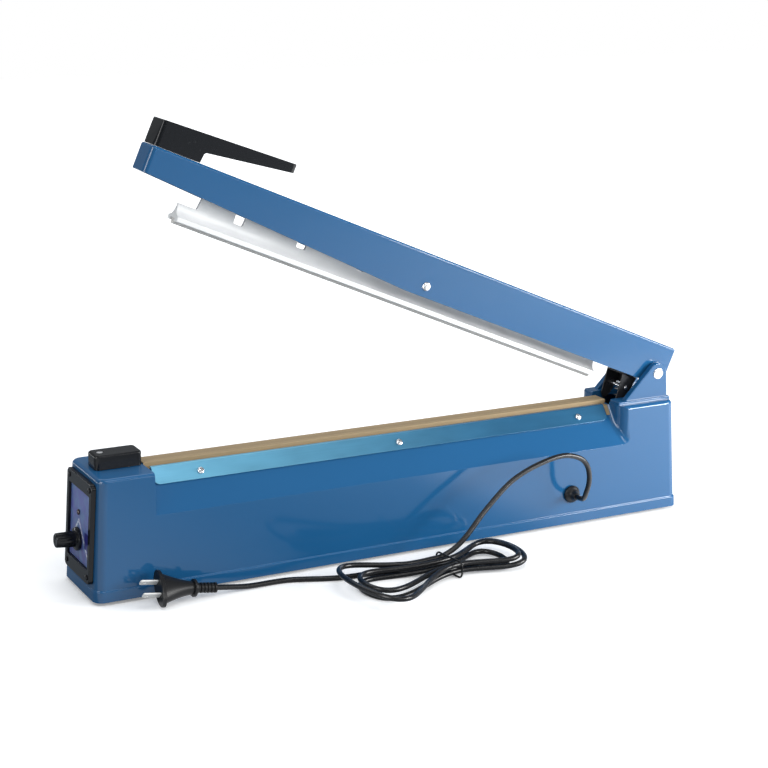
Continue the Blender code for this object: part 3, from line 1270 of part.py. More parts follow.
def make_arm(pivot):
    """Channel-shaped arm, open below, with bores for the hinge and the press bar's pin."""
    arm = piece("arm_channel", arm_solid(0), blue_plastic(), pivot)
    cut(arm, arm_solid(ARM_WALL), pivot, "arm_hollow")
    cut(arm, rod(HINGE_PIN_RADIUS + RUNNING_GAP, -EAR_OUTER, EAR_OUTER, axis=(0, 1, 0)), pivot,
        "arm_bore")
    cut(arm, rod(BAR_PIN_RADIUS + GAP, -EAR_OUTER, EAR_OUTER, SMALL_STEPS, (0, 1, 0),
                 (-BAR_PIN_BACK, 0, -BAR_PIN_DROP)), pivot, "bar_pin_bore")
    for side, label in ((-1, "front"), (1, "rear")):
        post = box((-LEVER_STUD_X - LEVER_STUD_HALF, side * LEVER_OUTER - ARM_WALL,
                    -LEVER_TOP + GAP),
                   (-LEVER_STUD_X + LEVER_STUD_HALF, side * LEVER_OUTER + ARM_WALL, ARM_TOP
                    - ARM_WALL / 2))
        cut(arm, post, pivot, f"lever_boss_{label}", "UNION")
    make_handle(pivot)
    make_press_bar(pivot)
    make_lever(pivot)


def handle_outline():
    """Side view of the handle: a foot on the arm and a blade towards the hinge."""
    start = -ARM_REACH + HANDLE_SET_BACK
    floor = ARM_TOP + GAP
    block = start + HANDLE_BLOCK
    end = start + HANDLE_REACH
    blade_top = ARM_TOP + HANDLE_END_TOP
    corners = [(start, floor), (block, floor), (block + HANDLE_SET_BACK, ARM_TOP
                                               + HANDLE_GAP_HEIGHT),
               (end, blade_top - HANDLE_END_THICK), (end, blade_top),
               (start + HANDLE_SET_BACK, ARM_TOP + HANDLE_HEIGHT)]
    radii = [0, 0, HANDLE_SET_BACK * 1.5, HANDLE_EDGE, HANDLE_EDGE, HANDLE_EDGE]
    return rounded(corners, radii, 3)


def make_handle(pivot):
    """Black handle block; its upright corners at the tip are rounded."""
    handle = piece("handle", prism(handle_outline(), -HANDLE_HALF, HANDLE_HALF, "Y"),
                   black_plastic(), pivot)
    start = -ARM_REACH + HANDLE_SET_BACK
    plan = rounded([(start, -HANDLE_HALF), (start + HANDLE_REACH, -HANDLE_HALF),
                    (start + HANDLE_REACH, HANDLE_HALF), (start, HANDLE_HALF)],
                   [HANDLE_CORNER] * 4, 4)
    cut(handle, prism(plan, 0, ARM_TOP + HANDLE_END_TOP + OVERRUN, "Z"), pivot, "handle_plan",
        "INTERSECT")


def bar_outline():
    """Section of the press bar: web, hollow flare, upright sides and a groove below."""
    side_top = -BAR_FOOT_BOTTOM + BAR_FOOT_SIDE
    half = [(BAR_WEB_HALF, BAR_WEB_TOP), (BAR_WEB_HALF, -BAR_FOOT_TOP)]
    for step in range(1, BAR_FLARE_STEPS + 1):
        turn = pi / 2 * step / BAR_FLARE_STEPS
        half.append((BAR_WEB_HALF + (BAR_FOOT_HALF - BAR_WEB_HALF) * (1 - cos(turn)),
                     -BAR_FOOT_TOP + (side_top + BAR_FOOT_TOP) * sin(turn)))
    floor = -BAR_FOOT_BOTTOM
    half += [(BAR_FOOT_HALF, floor), (BAR_GROOVE_HALF, floor),
             (BAR_GROOVE_HALF, floor + BAR_GROOVE_DEPTH)]
    return half + [(-y, z) for y, z in reversed(half)]


def make_press_bar(pivot):
    """Extruded bar rocking on its pin, with notches in its web and a silicone strip below."""
    axis = empty("bar_axis", pivot, (-BAR_PIN_BACK, 0, -BAR_PIN_DROP))
    bar = piece("press_bar", prism(bar_outline(), -BAR_LEFT, BAR_RIGHT, "X"), aluminium(), axis)
    lean = BAR_WEB_HALF
    floor = -BAR_NOTCH_FLOOR
    over = BAR_WEB_TOP + OVERRUN
    end_notch = [(-BAR_LEFT - OVERRUN, floor), (-BAR_LEFT + BAR_WEB_INSET - lean, floor),
                 (-BAR_LEFT + BAR_WEB_INSET + lean, over), (-BAR_LEFT - OVERRUN, over)]
    cut(bar, prism(end_notch, -BAR_FOOT_HALF, BAR_FOOT_HALF, "Y"), axis, "web_end")
    for number in range(BAR_NOTCH_COUNT):
        middle = -BAR_NOTCH_FIRST + BAR_NOTCH_PITCH * number
        half = BAR_NOTCH_WIDTH / 2
        notch = [(middle - half, over), (middle - half + lean, floor),
                 (middle + half - lean, floor), (middle + half, over)]
        cut(bar, prism(notch, -BAR_FOOT_HALF, BAR_FOOT_HALF, "Y"), axis, f"web_notch_{number + 1}")
    cut(bar, rod(BAR_PIN_RADIUS + RUNNING_GAP, -EAR_OUTER, EAR_OUTER, SMALL_STEPS, (0, 1, 0)),
        axis, "bar_bore")
    silicone_half = BAR_GROOVE_HALF - GAP
    low = -BAR_FOOT_BOTTOM - SILICONE_PROUD
    top = -BAR_FOOT_BOTTOM + BAR_GROOVE_DEPTH - GAP
    strip = box((-BAR_LEFT + SILICONE_END, -silicone_half, low),
                (BAR_RIGHT - SILICONE_END, silicone_half, top))
    piece("silicone_strip", strip, finish("silicone", (0.24, 0.2, 0.17), 0.7), axis)
    outer = arm_half(-BAR_PIN_BACK) + GAP
    head = BAR_PIN_HEAD_HEIGHT
    dome = BAR_PIN_HEAD * cos(pi / 5)
    low_head = [(0, -outer - head), (dome, -outer - head), (BAR_PIN_HEAD, -outer - head / 3),
                (BAR_PIN_HEAD, -outer), (BAR_PIN_RADIUS, -outer)]
    high_head = [(radius, -along) for radius, along in reversed(low_head)]
    pin = turned(low_head + high_head, ROUND_STEPS, (0, 1, 0), (-BAR_PIN_BACK, 0, -BAR_PIN_DROP))
    piece("bar_pin", pin, bright_steel(), pivot)


def lever_outline():
    return [(-LEVER_FRONT, -LEVER_TOP), (-LEVER_KNEE_X, -LEVER_KNEE_Z), (-LEVER_LOW_X, -LEVER_LOW),
            (-LEVER_HEEL_X, -LEVER_HEEL_Z), (-LEVER_REAR, -LEVER_TOP)]


def make_lever(pivot):
    """Black lift lever: cheeks astride the bed's end, joined by a top plate under the arm."""
    lever = piece("lift_lever", prism(lever_outline(), -LEVER_OUTER, LEVER_OUTER, "Y"),
                  black_steel(), pivot)
    inner = LEVER_OUTER - LEVER_SHEET
    room = box((-LEVER_FRONT - OVERRUN, -inner, -LEVER_LOW - OVERRUN),
               (0, inner, -LEVER_TOP - LEVER_SHEET))
    cut(lever, room, pivot, "lever_room")
    centre = (-LEVER_PIN_X, 0, -LEVER_PIN_Z)
    cut(lever, rod(LEVER_PIN_RADIUS + GAP, -EAR_OUTER, EAR_OUTER, SMALL_STEPS, (0, 1, 0), centre),
        pivot, "lever_bore")
    half = LEVER_OUTER + LEVER_PIN_PROUD
    pin = rod(LEVER_PIN_RADIUS, -half, half, SMALL_STEPS, (0, 1, 0), centre)
    piece("lever_pin", pin, bright_steel(), pivot)


def make_gland(root):
    """Rubber gland clipped in the long face, with a short taper round the cord."""
    face = -side_at(GLAND_HEIGHT) + PLINTH_STEP
    neck_end = BASE_WALL + GAP
    profile = [(0, -neck_end - GLAND_INSIDE), (GLAND_NECK + BASE_WALL / 2, -neck_end
                                              - GLAND_INSIDE),
               (GLAND_NECK + BASE_WALL / 2, -neck_end - GAP), (GLAND_NECK, -neck_end - GAP),
               (GLAND_NECK, GAP), (GLAND_RADIUS, GAP), (GLAND_RADIUS, GLAND_PROUD / 2),
               (GLAND_TIP_RADIUS, GLAND_PROUD), (CORD_RADIUS + BASE_WALL / 2, GLAND_PROUD
                                                 + GLAND_TAPER), (0, GLAND_PROUD + GLAND_TAPER)]
    gland = turned(profile, ROUND_STEPS, (0, -1, 0), (GLAND_X, face, base_z(GLAND_HEIGHT)))
    piece("cord_gland", gland, black_rubber(), root)


def hank_point(turns):
    """Place on the hank after a number of turns from the waist's front run."""
    middle = HANK_TURN_COUNT / 2
    high = turns < middle
    order = abs(turns - middle)
    angle = 2 * pi * (turns % 1)
    waist = HANK_WAIST + HANK_PITCH * order
    left = angle < pi
    if left:
        reach, spread = ((HANK_LEFT, HANK_LEFT_SPREAD) if high
                         else (HANK_LEFT_LOW, HANK_LEFT_LOW_SPREAD))
    else:
        reach, spread = HANK_RIGHT, HANK_RIGHT_SPREAD
    length = reach[0] + reach[1] * order
    width = spread[0] + spread[1] * order
    bulge = sin(2 * angle) * abs(sin(angle)) * (1 if left else -1)
    x = -length * sin(angle)
    y = waist * cos(angle) + width * bulge
    climb = min(max((turns - middle + 0.25) / 0.5, 0), 1)
    layer = HANK_LAYER * (0.5 + 0.5 * cos(pi * climb))
    lift = HANK_LIFT * (0.5 + 0.5 * cos(pi * min(abs(x) / HANK_LIFT_SPAN, 1)))
    lift += (HANK_LEFT_RISE * order if left else HANK_RIGHT_RISE) * sin(angle) ** 2
    if left and high:
        y -= HANK_LEFT_SAG * order * sin(angle) ** 2
    elif left:
        lift = max(0, lift - HANK_LEFT_RISE * order * sin(angle) ** 2)
    return hank_frame() @ Vector((x, y, CORD_RADIUS + layer + lift))


def hank_frame():
    return Matrix.Translation((HANK_X, HANK_Y, 0)) @ Matrix.Rotation(HANK_SWING, 4, "Z")


def hank_points():
    start = HANK_START / (2 * pi)
    count = HANK_TURN_COUNT * HANK_STEPS
    return [hank_point(start + HANK_TURN_COUNT * i / count) for i in range(count + 1)]


def square_end(points, end, inward):
    """Move a tube's end so that its last run is straight for a diameter."""
    step = inward.normalized() * (2 * CORD_RADIUS)
    return [end, end + step] + points


def make_cord(root):
    """Lead from the gland to the hank, the tied hank, and the tail to the plug."""
    rubber = finish("cord_black", (0.012, 0.012, 0.013), 0.5)
    spacing = ROUTE_SPACING_SHARE * 2 * CORD_RADIUS
    hank = hank_points()
    start_way = (hank[0] - hank[1]).normalized()
    end_way = (hank[-1] - hank[-2]).normalized()
    end_way.z = 0
    face = -side_at(GLAND_HEIGHT) + PLINTH_STEP - GLAND_PROUD - GLAND_TAPER - GAP
    outlet = Vector((GLAND_X, 0, 0))
    lead = [outlet + Vector(point) * MM for point in LEAD_ROUTE]
    lead[0] = Vector((GLAND_X, face, base_z(GLAND_HEIGHT)))
    lead[1] = lead[0] + Vector((0, -2 * CORD_RADIUS, 0))
    lead += [hank[0] + start_way * (2 * CORD_RADIUS + GAP), hank[0] + start_way * GAP]
    lead = smooth_route(lead, spacing)
    tail = [hank[-1] + end_way * GAP, hank[-1] + end_way * (2 * CORD_RADIUS + GAP)]
    tail += [outlet + Vector(point) * MM for point in TAIL_ROUTE]
    plug_way = plug_turn() @ Vector((1, 0, 0))
    plug_end = Vector((PLUG_X, PLUG_Y, PLUG_Z)) - plug_way * GAP
    tail += [plug_end - plug_way * (2 * CORD_RADIUS), plug_end]
    tail = smooth_route(tail, spacing)
    tube("cord_lead", lead, CORD_RADIUS, rubber, root)
    tube("cord_hank", hank, CORD_RADIUS, rubber, root, 1)
    tube("cord_tail", tail, CORD_RADIUS, rubber, root)
    print("hank least gap mm", round(least_gap(hank, CORD_RADIUS, 4) / MM, 3))
    lengths = [route_length(points) for points in (lead, hank, tail)]
    print("cord lengths mm", [round(length / MM) for length in lengths],
          "total", round(sum(lengths) / MM))
    middle = TIE_RADIUS + GAP / 2 + TIE_HEIGHT / 2
    ring = [hank_frame() @ Vector((0, y, middle + z))
            for y, z in rounded_rectangle(TIE_HALF, TIE_HEIGHT / 2, TIE_CORNER, 4)]
    ring_piece("cord_tie", ring, TIE_RADIUS, black_rubber(), root)


def ring_piece(name, ring, radius, material, parent):
    """Closed ring of round section through points in one upright plane."""
    shape = bmesh.new()
    sides = 6
    middle = sum(ring, Vector()) / len(ring)
    rows = []
    for i, point in enumerate(ring):
        along = (ring[(i + 1) % len(ring)] - ring[i - 1]).normalized()
        across = hank_frame().to_3x3() @ Vector((1, 0, 0))
        out = along.cross(across).normalized()
        if out.dot(point - middle) < 0:
            out = -out
        rows.append([shape.verts.new(point + radius * (cos(2 * pi * j / sides) * out
                                                       + sin(2 * pi * j / sides) * across))
                     for j in range(sides)])
    for row, following in zip(rows, rows[1:] + rows[:1]):
        for j in range(sides):
            k = (j + 1) % sides
            shape.faces.new((row[j], row[k], following[k], following[j]))
    return piece(name, shape, material, parent)


def plug_turn():
    """Turn of the plug: X along the blades, Y along the flange."""
    heading = Matrix.Rotation(pi - PLUG_ANGLE, 3, "Z")
    pitch = Matrix.Rotation(-PLUG_PITCH, 3, "Y")
    roll = Matrix.Rotation(PLUG_ROLL, 3, "X")
    return heading @ pitch @ roll


def oval(x, half, tall, steps=ROUND_STEPS):
    return [Vector((x, tall * cos(2 * pi * i / steps), half * sin(2 * pi * i / steps)))
            for i in range(steps)]


def make_plug(root):
    """Moulded plug with a ribbed strain relief, a collar, a flared body and a grip flange."""
    frame = empty("plug_frame", root, (PLUG_X, PLUG_Y, PLUG_Z), plug_turn())
    rings = []
    pitch = PLUG_RELIEF / PLUG_RIB_COUNT
    for rib in range(PLUG_RIB_COUNT):
        start = rib * pitch
        for share, radius in ((0, PLUG_RELIEF_RADIUS), (0.6, PLUG_RELIEF_RADIUS),
                              (0.65, PLUG_RELIEF_RADIUS - PLUG_RIB_DEPTH),
                              (0.95, PLUG_RELIEF_RADIUS - PLUG_RIB_DEPTH)):
            rings.append(oval(start + share * pitch, radius, radius))
    x = PLUG_RELIEF
    rings += [oval(x, PLUG_COLLAR - GAP, PLUG_COLLAR - GAP),
              oval(x + PLUG_COLLAR_THICK, PLUG_COLLAR, PLUG_COLLAR)]
    x += PLUG_COLLAR_THICK
    steps = 4
    for step in range(steps + 1):
        share = step / steps
        rings.append(oval(x + GAP + PLUG_BODY * share,
                          PLUG_NECK_RADIUS + (PLUG_BODY_HALF - PLUG_NECK_RADIUS) * share,
                          PLUG_NECK_RADIUS + (PLUG_BODY_TALL - PLUG_NECK_RADIUS) * share ** 1.5))
    x += GAP + PLUG_BODY
    rings += [oval(x + GAP, PLUG_FLANGE_HALF, PLUG_FLANGE_TALL),
              oval(x + GAP + PLUG_FLANGE, PLUG_FLANGE_HALF, PLUG_FLANGE_TALL)]
    face = x + GAP + PLUG_FLANGE
    body = piece("plug_body", loft(rings), black_rubber(), frame)
    for side, label in ((-1, "front"), (1, "rear")):
        y = side * BLADE_PITCH / 2
        socket = box((face - BLADE_SINK - GAP, y - BLADE_THICK / 2 - GAP, -BLADE_WIDTH / 2 - GAP),
                     (face + OVERRUN, y + BLADE_THICK / 2 + GAP, BLADE_WIDTH / 2 + GAP))
        cut(body, socket, frame, f"{label}_blade_socket")
        blade = box((face - BLADE_SINK, y - BLADE_THICK / 2, -BLADE_WIDTH / 2),
                    (face + BLADE_LENGTH, y + BLADE_THICK / 2, BLADE_WIDTH / 2))
        piece(f"{label}_plug_blade", blade, bright_steel(), frame)


CORD_PIECES = ("cord_gland", "cord_lead", "cord_hank", "cord_tail", "cord_tie", "plug_body",
               "front_plug_blade", "rear_plug_blade")


def centre_part(root):
    """Stand the part over the origin by the middle of its box, the cord left out."""
    bpy.context.view_layer.update()
    graph = bpy.context.evaluated_depsgraph_get()
    low, high = 1.0, -1.0
    for made in bpy.context.collection.objects:
        if made.type != "MESH" or made.hide_render or made.name in CORD_PIECES:
            continue
        final = made.evaluated_get(graph)
        xs = [(final.matrix_world @ vert.co).x for vert in final.data.vertices]
        low, high = min(low, *xs), max(high, *xs)
    root.location.x = -(low + high) / 2
    bpy.context.view_layer.update()


def report_joints():
    """Joint places and limits, for whoever drives the part."""
    for name in ("arm_axis", "bar_axis", "knob_axis", "plunger_axis"):
        frame = bpy.data.objects[name]
        way = frame.matrix_world.to_3x3() @ Vector((1, 0, 0))
        print(name, [round(value, 6) for value in frame.matrix_world.translation],
              "x axis", [round(value, 6) for value in way])
    closed = closed_angle() - OPEN_ANGLE
    print("arm closes by deg", round(degrees(closed), 4), "bar rocks deg",
          round(degrees(-closed_angle()), 4), "ratio", round(closed_angle() / -closed, 6))
    print("plunger per radian", round(SWITCH_TRAVEL / -closed, 6))


def build():
    for made in list(bpy.data.objects):
        bpy.data.objects.remove(made)
    root = empty("part_frame")
    make_housing(root)
    make_bottom(root)
    make_bed(root)
    make_clamps(root)
    make_terminals(root)
    make_panel(root)
    make_transformer(root)
    make_mechanism(root)
    make_spring(root)
    make_switch(root)
    make_hinge_pin(root)
    pivot = empty("arm_axis", root, (HINGE_X, 0, base_z(BASE_HEIGHT + HINGE_RISE)),
                  Matrix.Rotation(OPEN_ANGLE, 3, "Y"))
    make_arm(pivot)
    make_gland(root)
    make_cord(root)
    make_plug(root)
    centre_part(root)
    report_joints()


build()
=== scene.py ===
"""Looks of a long-arm impulse sealer: typed sub-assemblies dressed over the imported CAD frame."""

import logging
from collections.abc import Callable, Iterable, Sequence
from dataclasses import dataclass, field
from enum import Enum
from math import atan2, cos, hypot, pi, radians, sin, tan

import bmesh
import bpy
from mathutils import Matrix, Vector


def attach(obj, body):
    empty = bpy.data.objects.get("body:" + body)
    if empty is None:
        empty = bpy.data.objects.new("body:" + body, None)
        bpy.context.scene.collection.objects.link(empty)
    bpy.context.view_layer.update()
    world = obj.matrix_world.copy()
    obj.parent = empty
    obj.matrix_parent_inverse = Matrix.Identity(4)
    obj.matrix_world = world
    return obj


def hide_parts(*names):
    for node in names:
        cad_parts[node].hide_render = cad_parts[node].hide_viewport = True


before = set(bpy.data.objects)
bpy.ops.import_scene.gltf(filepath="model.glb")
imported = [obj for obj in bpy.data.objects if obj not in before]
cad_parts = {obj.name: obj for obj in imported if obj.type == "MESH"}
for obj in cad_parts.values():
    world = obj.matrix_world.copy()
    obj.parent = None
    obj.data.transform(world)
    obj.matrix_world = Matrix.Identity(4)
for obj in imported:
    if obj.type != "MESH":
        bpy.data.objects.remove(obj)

log = logging.getLogger("impulse_sealer")

Colour = tuple[float, float, float]
Point2 = tuple[float, float]
Point3 = tuple[float, float, float]

MM = 0.001
CENTRE_X = 301.612
FOOT = 3.0
TO_METRES = Matrix.Scale(MM, 4)
BASE_FRAME = TO_METRES @ Matrix.Translation((-CENTRE_X, 0.0, 0.0))
HINGE = Vector((597.8, 0.0, 140.0))
OPEN_ANGLE = radians(23.0)
ARM_FRAME = BASE_FRAME @ Matrix.Translation(HINGE) @ Matrix.Rotation(OPEN_ANGLE, 4, "Y")
BAR_PIN = Vector((-283.4, 0.0, -1.0))
BAR_FRAME = ARM_FRAME @ Matrix.Translation(BAR_PIN)
PANEL_LEAN = atan2(6.6, 110.0)
PANEL_IN_BASE = Matrix.Translation((4.44, 0.0, 62.0)) @ Matrix.Rotation(PANEL_LEAN, 4, "Y")
PANEL_FRAME = BASE_FRAME @ PANEL_IN_BASE
CLAMP_SCREWS = (108.5, 308.75, 509.0)
CLAMP_SCREW_DOWN = 8.2
HALF_LENGTH = 310.0
HEIGHT = 110.0
HALF_WIDTH = 42.6
SIDE_DRAFT = 3.9
END_DRAFT = 6.6
RIDGE_HALF = 14.0
RIDGE_TOP = 109.2
SLOPE_FOOT = 73.5
PLATFORM_TOP = 116.0
GLAND_X = 491.0
GLAND_RISE = 30.0
COVER_SCREW_X = 22.0


class Body(Enum):
    """CAD bodies that a piece can ride."""

    BASE = "base"
    ARM = "arm"
    BAR = "bar"
    KNOB = "knob"


class Axis(Enum):
    """Direction in which an outline is drawn out."""

    X = "X"
    Y = "Y"
    Z = "Z"

    def place(self, across: float, up: float, along: float) -> Point3:
        """Point of an outline at a distance along the axis.

        Args:
            across: first coordinate in the outline.
            up: second coordinate in the outline.
            along: distance along this axis.

        Returns:
            The point in space.
        """
        if self is Axis.X:
            return (along, across, up)
        if self is Axis.Y:
            return (across, along, up)
        return (across, up, along)


class Merge(Enum):
    """How one form changes another."""

    ADD = "UNION"
    CUT = "DIFFERENCE"
    KEEP = "INTERSECT"


class Socket:
    """Output of a shader node, with arithmetic."""

    def __init__(self, graph: "Graph", socket: bpy.types.NodeSocket) -> None:
        """Keep the graph and the node's output."""
        self.graph = graph
        self.socket = socket

    def __add__(self, other: "Value") -> "Socket":
        """Sum with a socket or a number."""
        return self.graph.maths("ADD", self, other)

    def __radd__(self, other: "Value") -> "Socket":
        """Sum with a number on the left."""
        return self.graph.maths("ADD", other, self)

    def __sub__(self, other: "Value") -> "Socket":
        """Difference from a socket or a number."""
        return self.graph.maths("SUBTRACT", self, other)

    def __rsub__(self, other: "Value") -> "Socket":
        """Number on the left less this socket."""
        return self.graph.maths("SUBTRACT", other, self)

    def __mul__(self, other: "Value") -> "Socket":
        """Product with a socket or a number."""
        return self.graph.maths("MULTIPLY", self, other)

    def __rmul__(self, other: "Value") -> "Socket":
        """Product with a number on the left."""
        return self.graph.maths("MULTIPLY", other, self)

    def __gt__(self, other: "Value") -> "Socket":
        """One where this is over a socket or a number."""
        return self.graph.maths("GREATER_THAN", self, other)

    def __lt__(self, other: "Value") -> "Socket":
        """One where this is under a socket or a number."""
        return self.graph.maths("LESS_THAN", self, other)

    def clamped(self) -> "Socket":
        """This socket held between nought and one."""
        return self.graph.maths("MINIMUM", self.graph.maths("MAXIMUM", self, 0.0), 1.0)

    def size(self) -> "Socket":
        """This socket without its sign."""
        return self.graph.maths("ABSOLUTE", self, 0.0)

    def ramp(self, low: float, high: float) -> "Socket":
        """Smooth step from nought at low to one at high.

        Args:
            low: value that gives nought.
            high: value that gives one.

        Returns:
            The stepped socket.
        """
        return self.graph.node("ShaderNodeMapRange", {"interpolation_type": "SMOOTHSTEP"},
                               {0: self, 1: low, 2: high, 3: 0.0, 4: 1.0})


Value = Socket | float
Input = Socket | float | Sequence[float]


class Graph:
    """Procedural material being wired up."""

    def __init__(self, name: str) -> None:
        """Start a material that has one Principled shader.

        Args:
            name: name of the material.
        """
        self.material = bpy.data.materials.new(name)
        self.material.use_nodes = True
        self.nodes = self.material.node_tree.nodes
        self.links = self.material.node_tree.links
        self.shader = self.nodes["Principled BSDF"]
        self.place = self.node("ShaderNodeTexCoord", {}, {}, 3)

    def node(self, kind: str, settings: dict[str, object], inputs: dict[int | str, Input],
             output: int = 0) -> Socket:
        """Make a node, set it and wire it.

        Args:
            kind: node type.
            settings: properties set before anything is wired.
            inputs: sockets or values by input.
            output: which output to hand back.

        Returns:
            The output.
        """
        made = self.nodes.new(kind)
        for key, value in settings.items():
            setattr(made, key, value)
        for key, value in inputs.items():
            self.feed(made.inputs[key], value)
        return Socket(self, made.outputs[output])

    def feed(self, target: bpy.types.NodeSocket, value: Input) -> None:
        """Link a socket to an input, or set a value on it.

        Args:
            target: the input.
            value: socket to link, or value to set.
        """
        if isinstance(value, Socket):
            self.links.new(value.socket, target)
        else:
            target.default_value = value

    def maths(self, operation: str, first: Value, second: Value) -> Socket:
        """Result of one Math node."""
        return self.node("ShaderNodeMath", {"operation": operation}, {0: first, 1: second})

    def mix(self, share: Value, first: Input, second: Input) -> Socket:
        """Colour between two colours.

        Args:
            share: nought gives the first and one the second.
            first: colour or socket.
            second: colour or socket.

        Returns:
            The mixed colour.
        """
        ends = [end if isinstance(end, Socket) else (*end, 1.0) for end in (first, second)]
        return self.node("ShaderNodeMix", {"data_type": "RGBA"},
                         {0: share, 6: ends[0], 7: ends[1]}, 2)

    def stretched(self, scale: Point3, turn: Point3 = (0.0, 0.0, 0.0)) -> Socket:
        """Object coordinates turned and scaled, in patterns per metre."""
        return self.node("ShaderNodeMapping", {}, {"Vector": self.place, "Scale": scale,
                                                   "Rotation": turn})

    def noise(self, scale: Point3, detail: float = 2.0, turn: Point3 = (0.0, 0.0, 0.0)) -> Socket:
        """Noise at a scale along each axis.

        Args:
            scale: blotches per metre along X, Y and Z.
            detail: finer layers in it.
            turn: turn of its axes in radians.

        Returns:
            Noise between nought and one.
        """
        return self.node("ShaderNodeTexNoise", {}, {"Vector": self.stretched(scale, turn),
                                                    "Scale": 1.0, "Detail": detail})

    def axis(self, number: int) -> Socket:
        """One Object coordinate in metres."""
        return self.node("ShaderNodeSeparateXYZ", {}, {0: self.place}, number)

    def bump(self, height: Socket, strength: float, depth: float) -> Socket:
        """Normal of a relief.

        Args:
            height: relief between nought and one.
            strength: how much of it shows.
            depth: its depth in metres.

        Returns:
            The normal.
        """
        return self.node("ShaderNodeBump", {}, {"Height": height, "Strength": strength,
                                                "Distance": depth})

    def finish(self, inputs: dict[str, Input]) -> bpy.types.Material:
        """Wire the shader and hand the material back.

        Args:
            inputs: values or sockets by name; a colour is three numbers.

        Returns:
            The material.
        """
        for key, value in inputs.items():
            if isinstance(value, tuple) and len(value) == 3:
                value = (*value, 1.0)
            self.feed(self.shader.inputs[key], value)
        return self.material


@dataclass(frozen=True)
class Finish:
    """A surface finish that makes one procedural material."""

    name: str
    colour: Colour
    roughness: float = 0.4

    def material(self) -> bpy.types.Material:
        """Material of this finish, made once."""
        found = bpy.data.materials.get(f"look_{self.name}")
        return found or self.wired(Graph(f"look_{self.name}"))

    def wired(self, graph: Graph) -> bpy.types.Material:
        """Wire a plain finish: slight cloud in colour and gloss, and a fine relief.

        Args:
            graph: the material to wire.

        Returns:
            The material.
        """
        cloud = graph.noise((22.0, 22.0, 22.0), 3.0)
        grain = graph.noise((2600.0, 2600.0, 2600.0), 2.0)
        return graph.finish({
            "Base Color": graph.mix(cloud, shade(self.colour, 0.88), shade(self.colour, 1.1)),
            "Roughness": self.roughness + (cloud - 0.5) * 0.12,
            "Normal": graph.bump(grain, 0.12, 0.0001)})


@dataclass(frozen=True)
class Moulded(Finish):
    """Moulded plastic with flow cloud, fine texture, dust and a clear gloss."""

    gloss: float = 0.3
    texture: float = 0.08
    specks: float = 0.0
    shine: float = 0.5

    def wired(self, graph: Graph) -> bpy.types.Material:
        """Wire colour cloud, a little dust, gloss change and the mould's texture.

        Args:
            graph: the material to wire.

        Returns:
            The material.
        """
        cloud = graph.noise((7.0, 9.0, 12.0), 3.0)
        grain = graph.noise((1500.0, 1500.0, 1500.0), 3.0)
        wave = graph.noise((28.0, 28.0, 28.0), 1.0)
        dust = graph.noise((420.0, 420.0, 420.0), 2.0).ramp(0.70, 0.80) * self.specks
        base = graph.mix(cloud, shade(self.colour, 0.93), shade(self.colour, 1.06))
        relief = grain * self.texture + wave * 0.9
        return graph.finish({
            "Base Color": graph.mix(dust, base, (0.55, 0.58, 0.6)),
            "Roughness": (self.roughness + (grain - 0.5) * 0.1 + dust * 0.3).clamped(),
            "Coat Weight": self.gloss, "Coat Roughness": 0.08, "Specular IOR Level": self.shine,
            "Normal": graph.bump(relief, 0.1, 0.0006)})


@dataclass(frozen=True)
class Metal(Finish):
    """Metal drawn or rolled along one direction, with streaks and small dents."""

    grain: Point3 = (30.0, 1800.0, 1800.0)
    turn: Point3 = (0.0, 0.0, 0.0)
    metallic: float = 1.0
    streak: float = 0.25
    dents: float = 0.0

    def wired(self, graph: Graph) -> bpy.types.Material:
        """Wire streaks into colour, gloss and relief.

        Args:
            graph: the material to wire.

        Returns:
            The material.
        """
        streaks = graph.noise(self.grain, 4.0, self.turn)
        cloud = graph.noise((26.0, 40.0, 40.0), 2.0)
        dents = graph.noise((55.0, 90.0, 90.0), 1.0)
        tone = (streaks - 0.5) * self.streak + cloud
        relief = streaks * 0.25 + dents * self.dents
        return graph.finish({
            "Base Color": graph.mix(tone, shade(self.colour, 0.86), shade(self.colour, 1.1)),
            "Metallic": self.metallic,
            "Roughness": (self.roughness + (streaks - 0.5) * self.streak * 0.6).clamped(),
            "Normal": graph.bump(relief, 0.35, 0.0004)})


@dataclass(frozen=True)
class Filmed(Finish):
    """Bright sheet under a clear blue film, lighter at the panel end and deeper towards the hinge
    end: a painted reflection on the film's tint.
    """

    # Colour at the hinge end, where the painted reflection has faded.
    deep: Colour = (0.024, 0.125, 0.245)

    def wired(self, graph: Graph) -> bpy.types.Material:
        """Wire the tint with its painted reflection, fine rolling lines and faint dents.

        Args:
            graph: the material to wire.

        Returns:
            The material.
        """
        lines = graph.noise((14.0, 1100.0, 1100.0), 3.0)
        cloud = graph.noise((22.0, 60.0, 60.0), 2.0)
        dents = graph.noise((50.0, 80.0, 80.0), 1.0)
        # Painted reflection: the plate is lighter towards the panel end and deeper towards the
        # hinge end.
        share = graph.axis(0).ramp(-0.26, 0.16)
        low = graph.mix(share, shade(self.colour, 0.78), shade(self.deep, 0.78))
        high = graph.mix(share, shade(self.colour, 1.2), shade(self.deep, 1.2))
        tone = ((lines - 0.5) * 0.3 + cloud).clamped()
        return graph.finish({
            "Base Color": graph.mix(tone, low, high), "Metallic": 0.35,
            "Roughness": (self.roughness + (lines - 0.5) * 0.12).clamped(),
            "Normal": graph.bump(lines * 0.2 + dents, 0.3, 0.0004)})


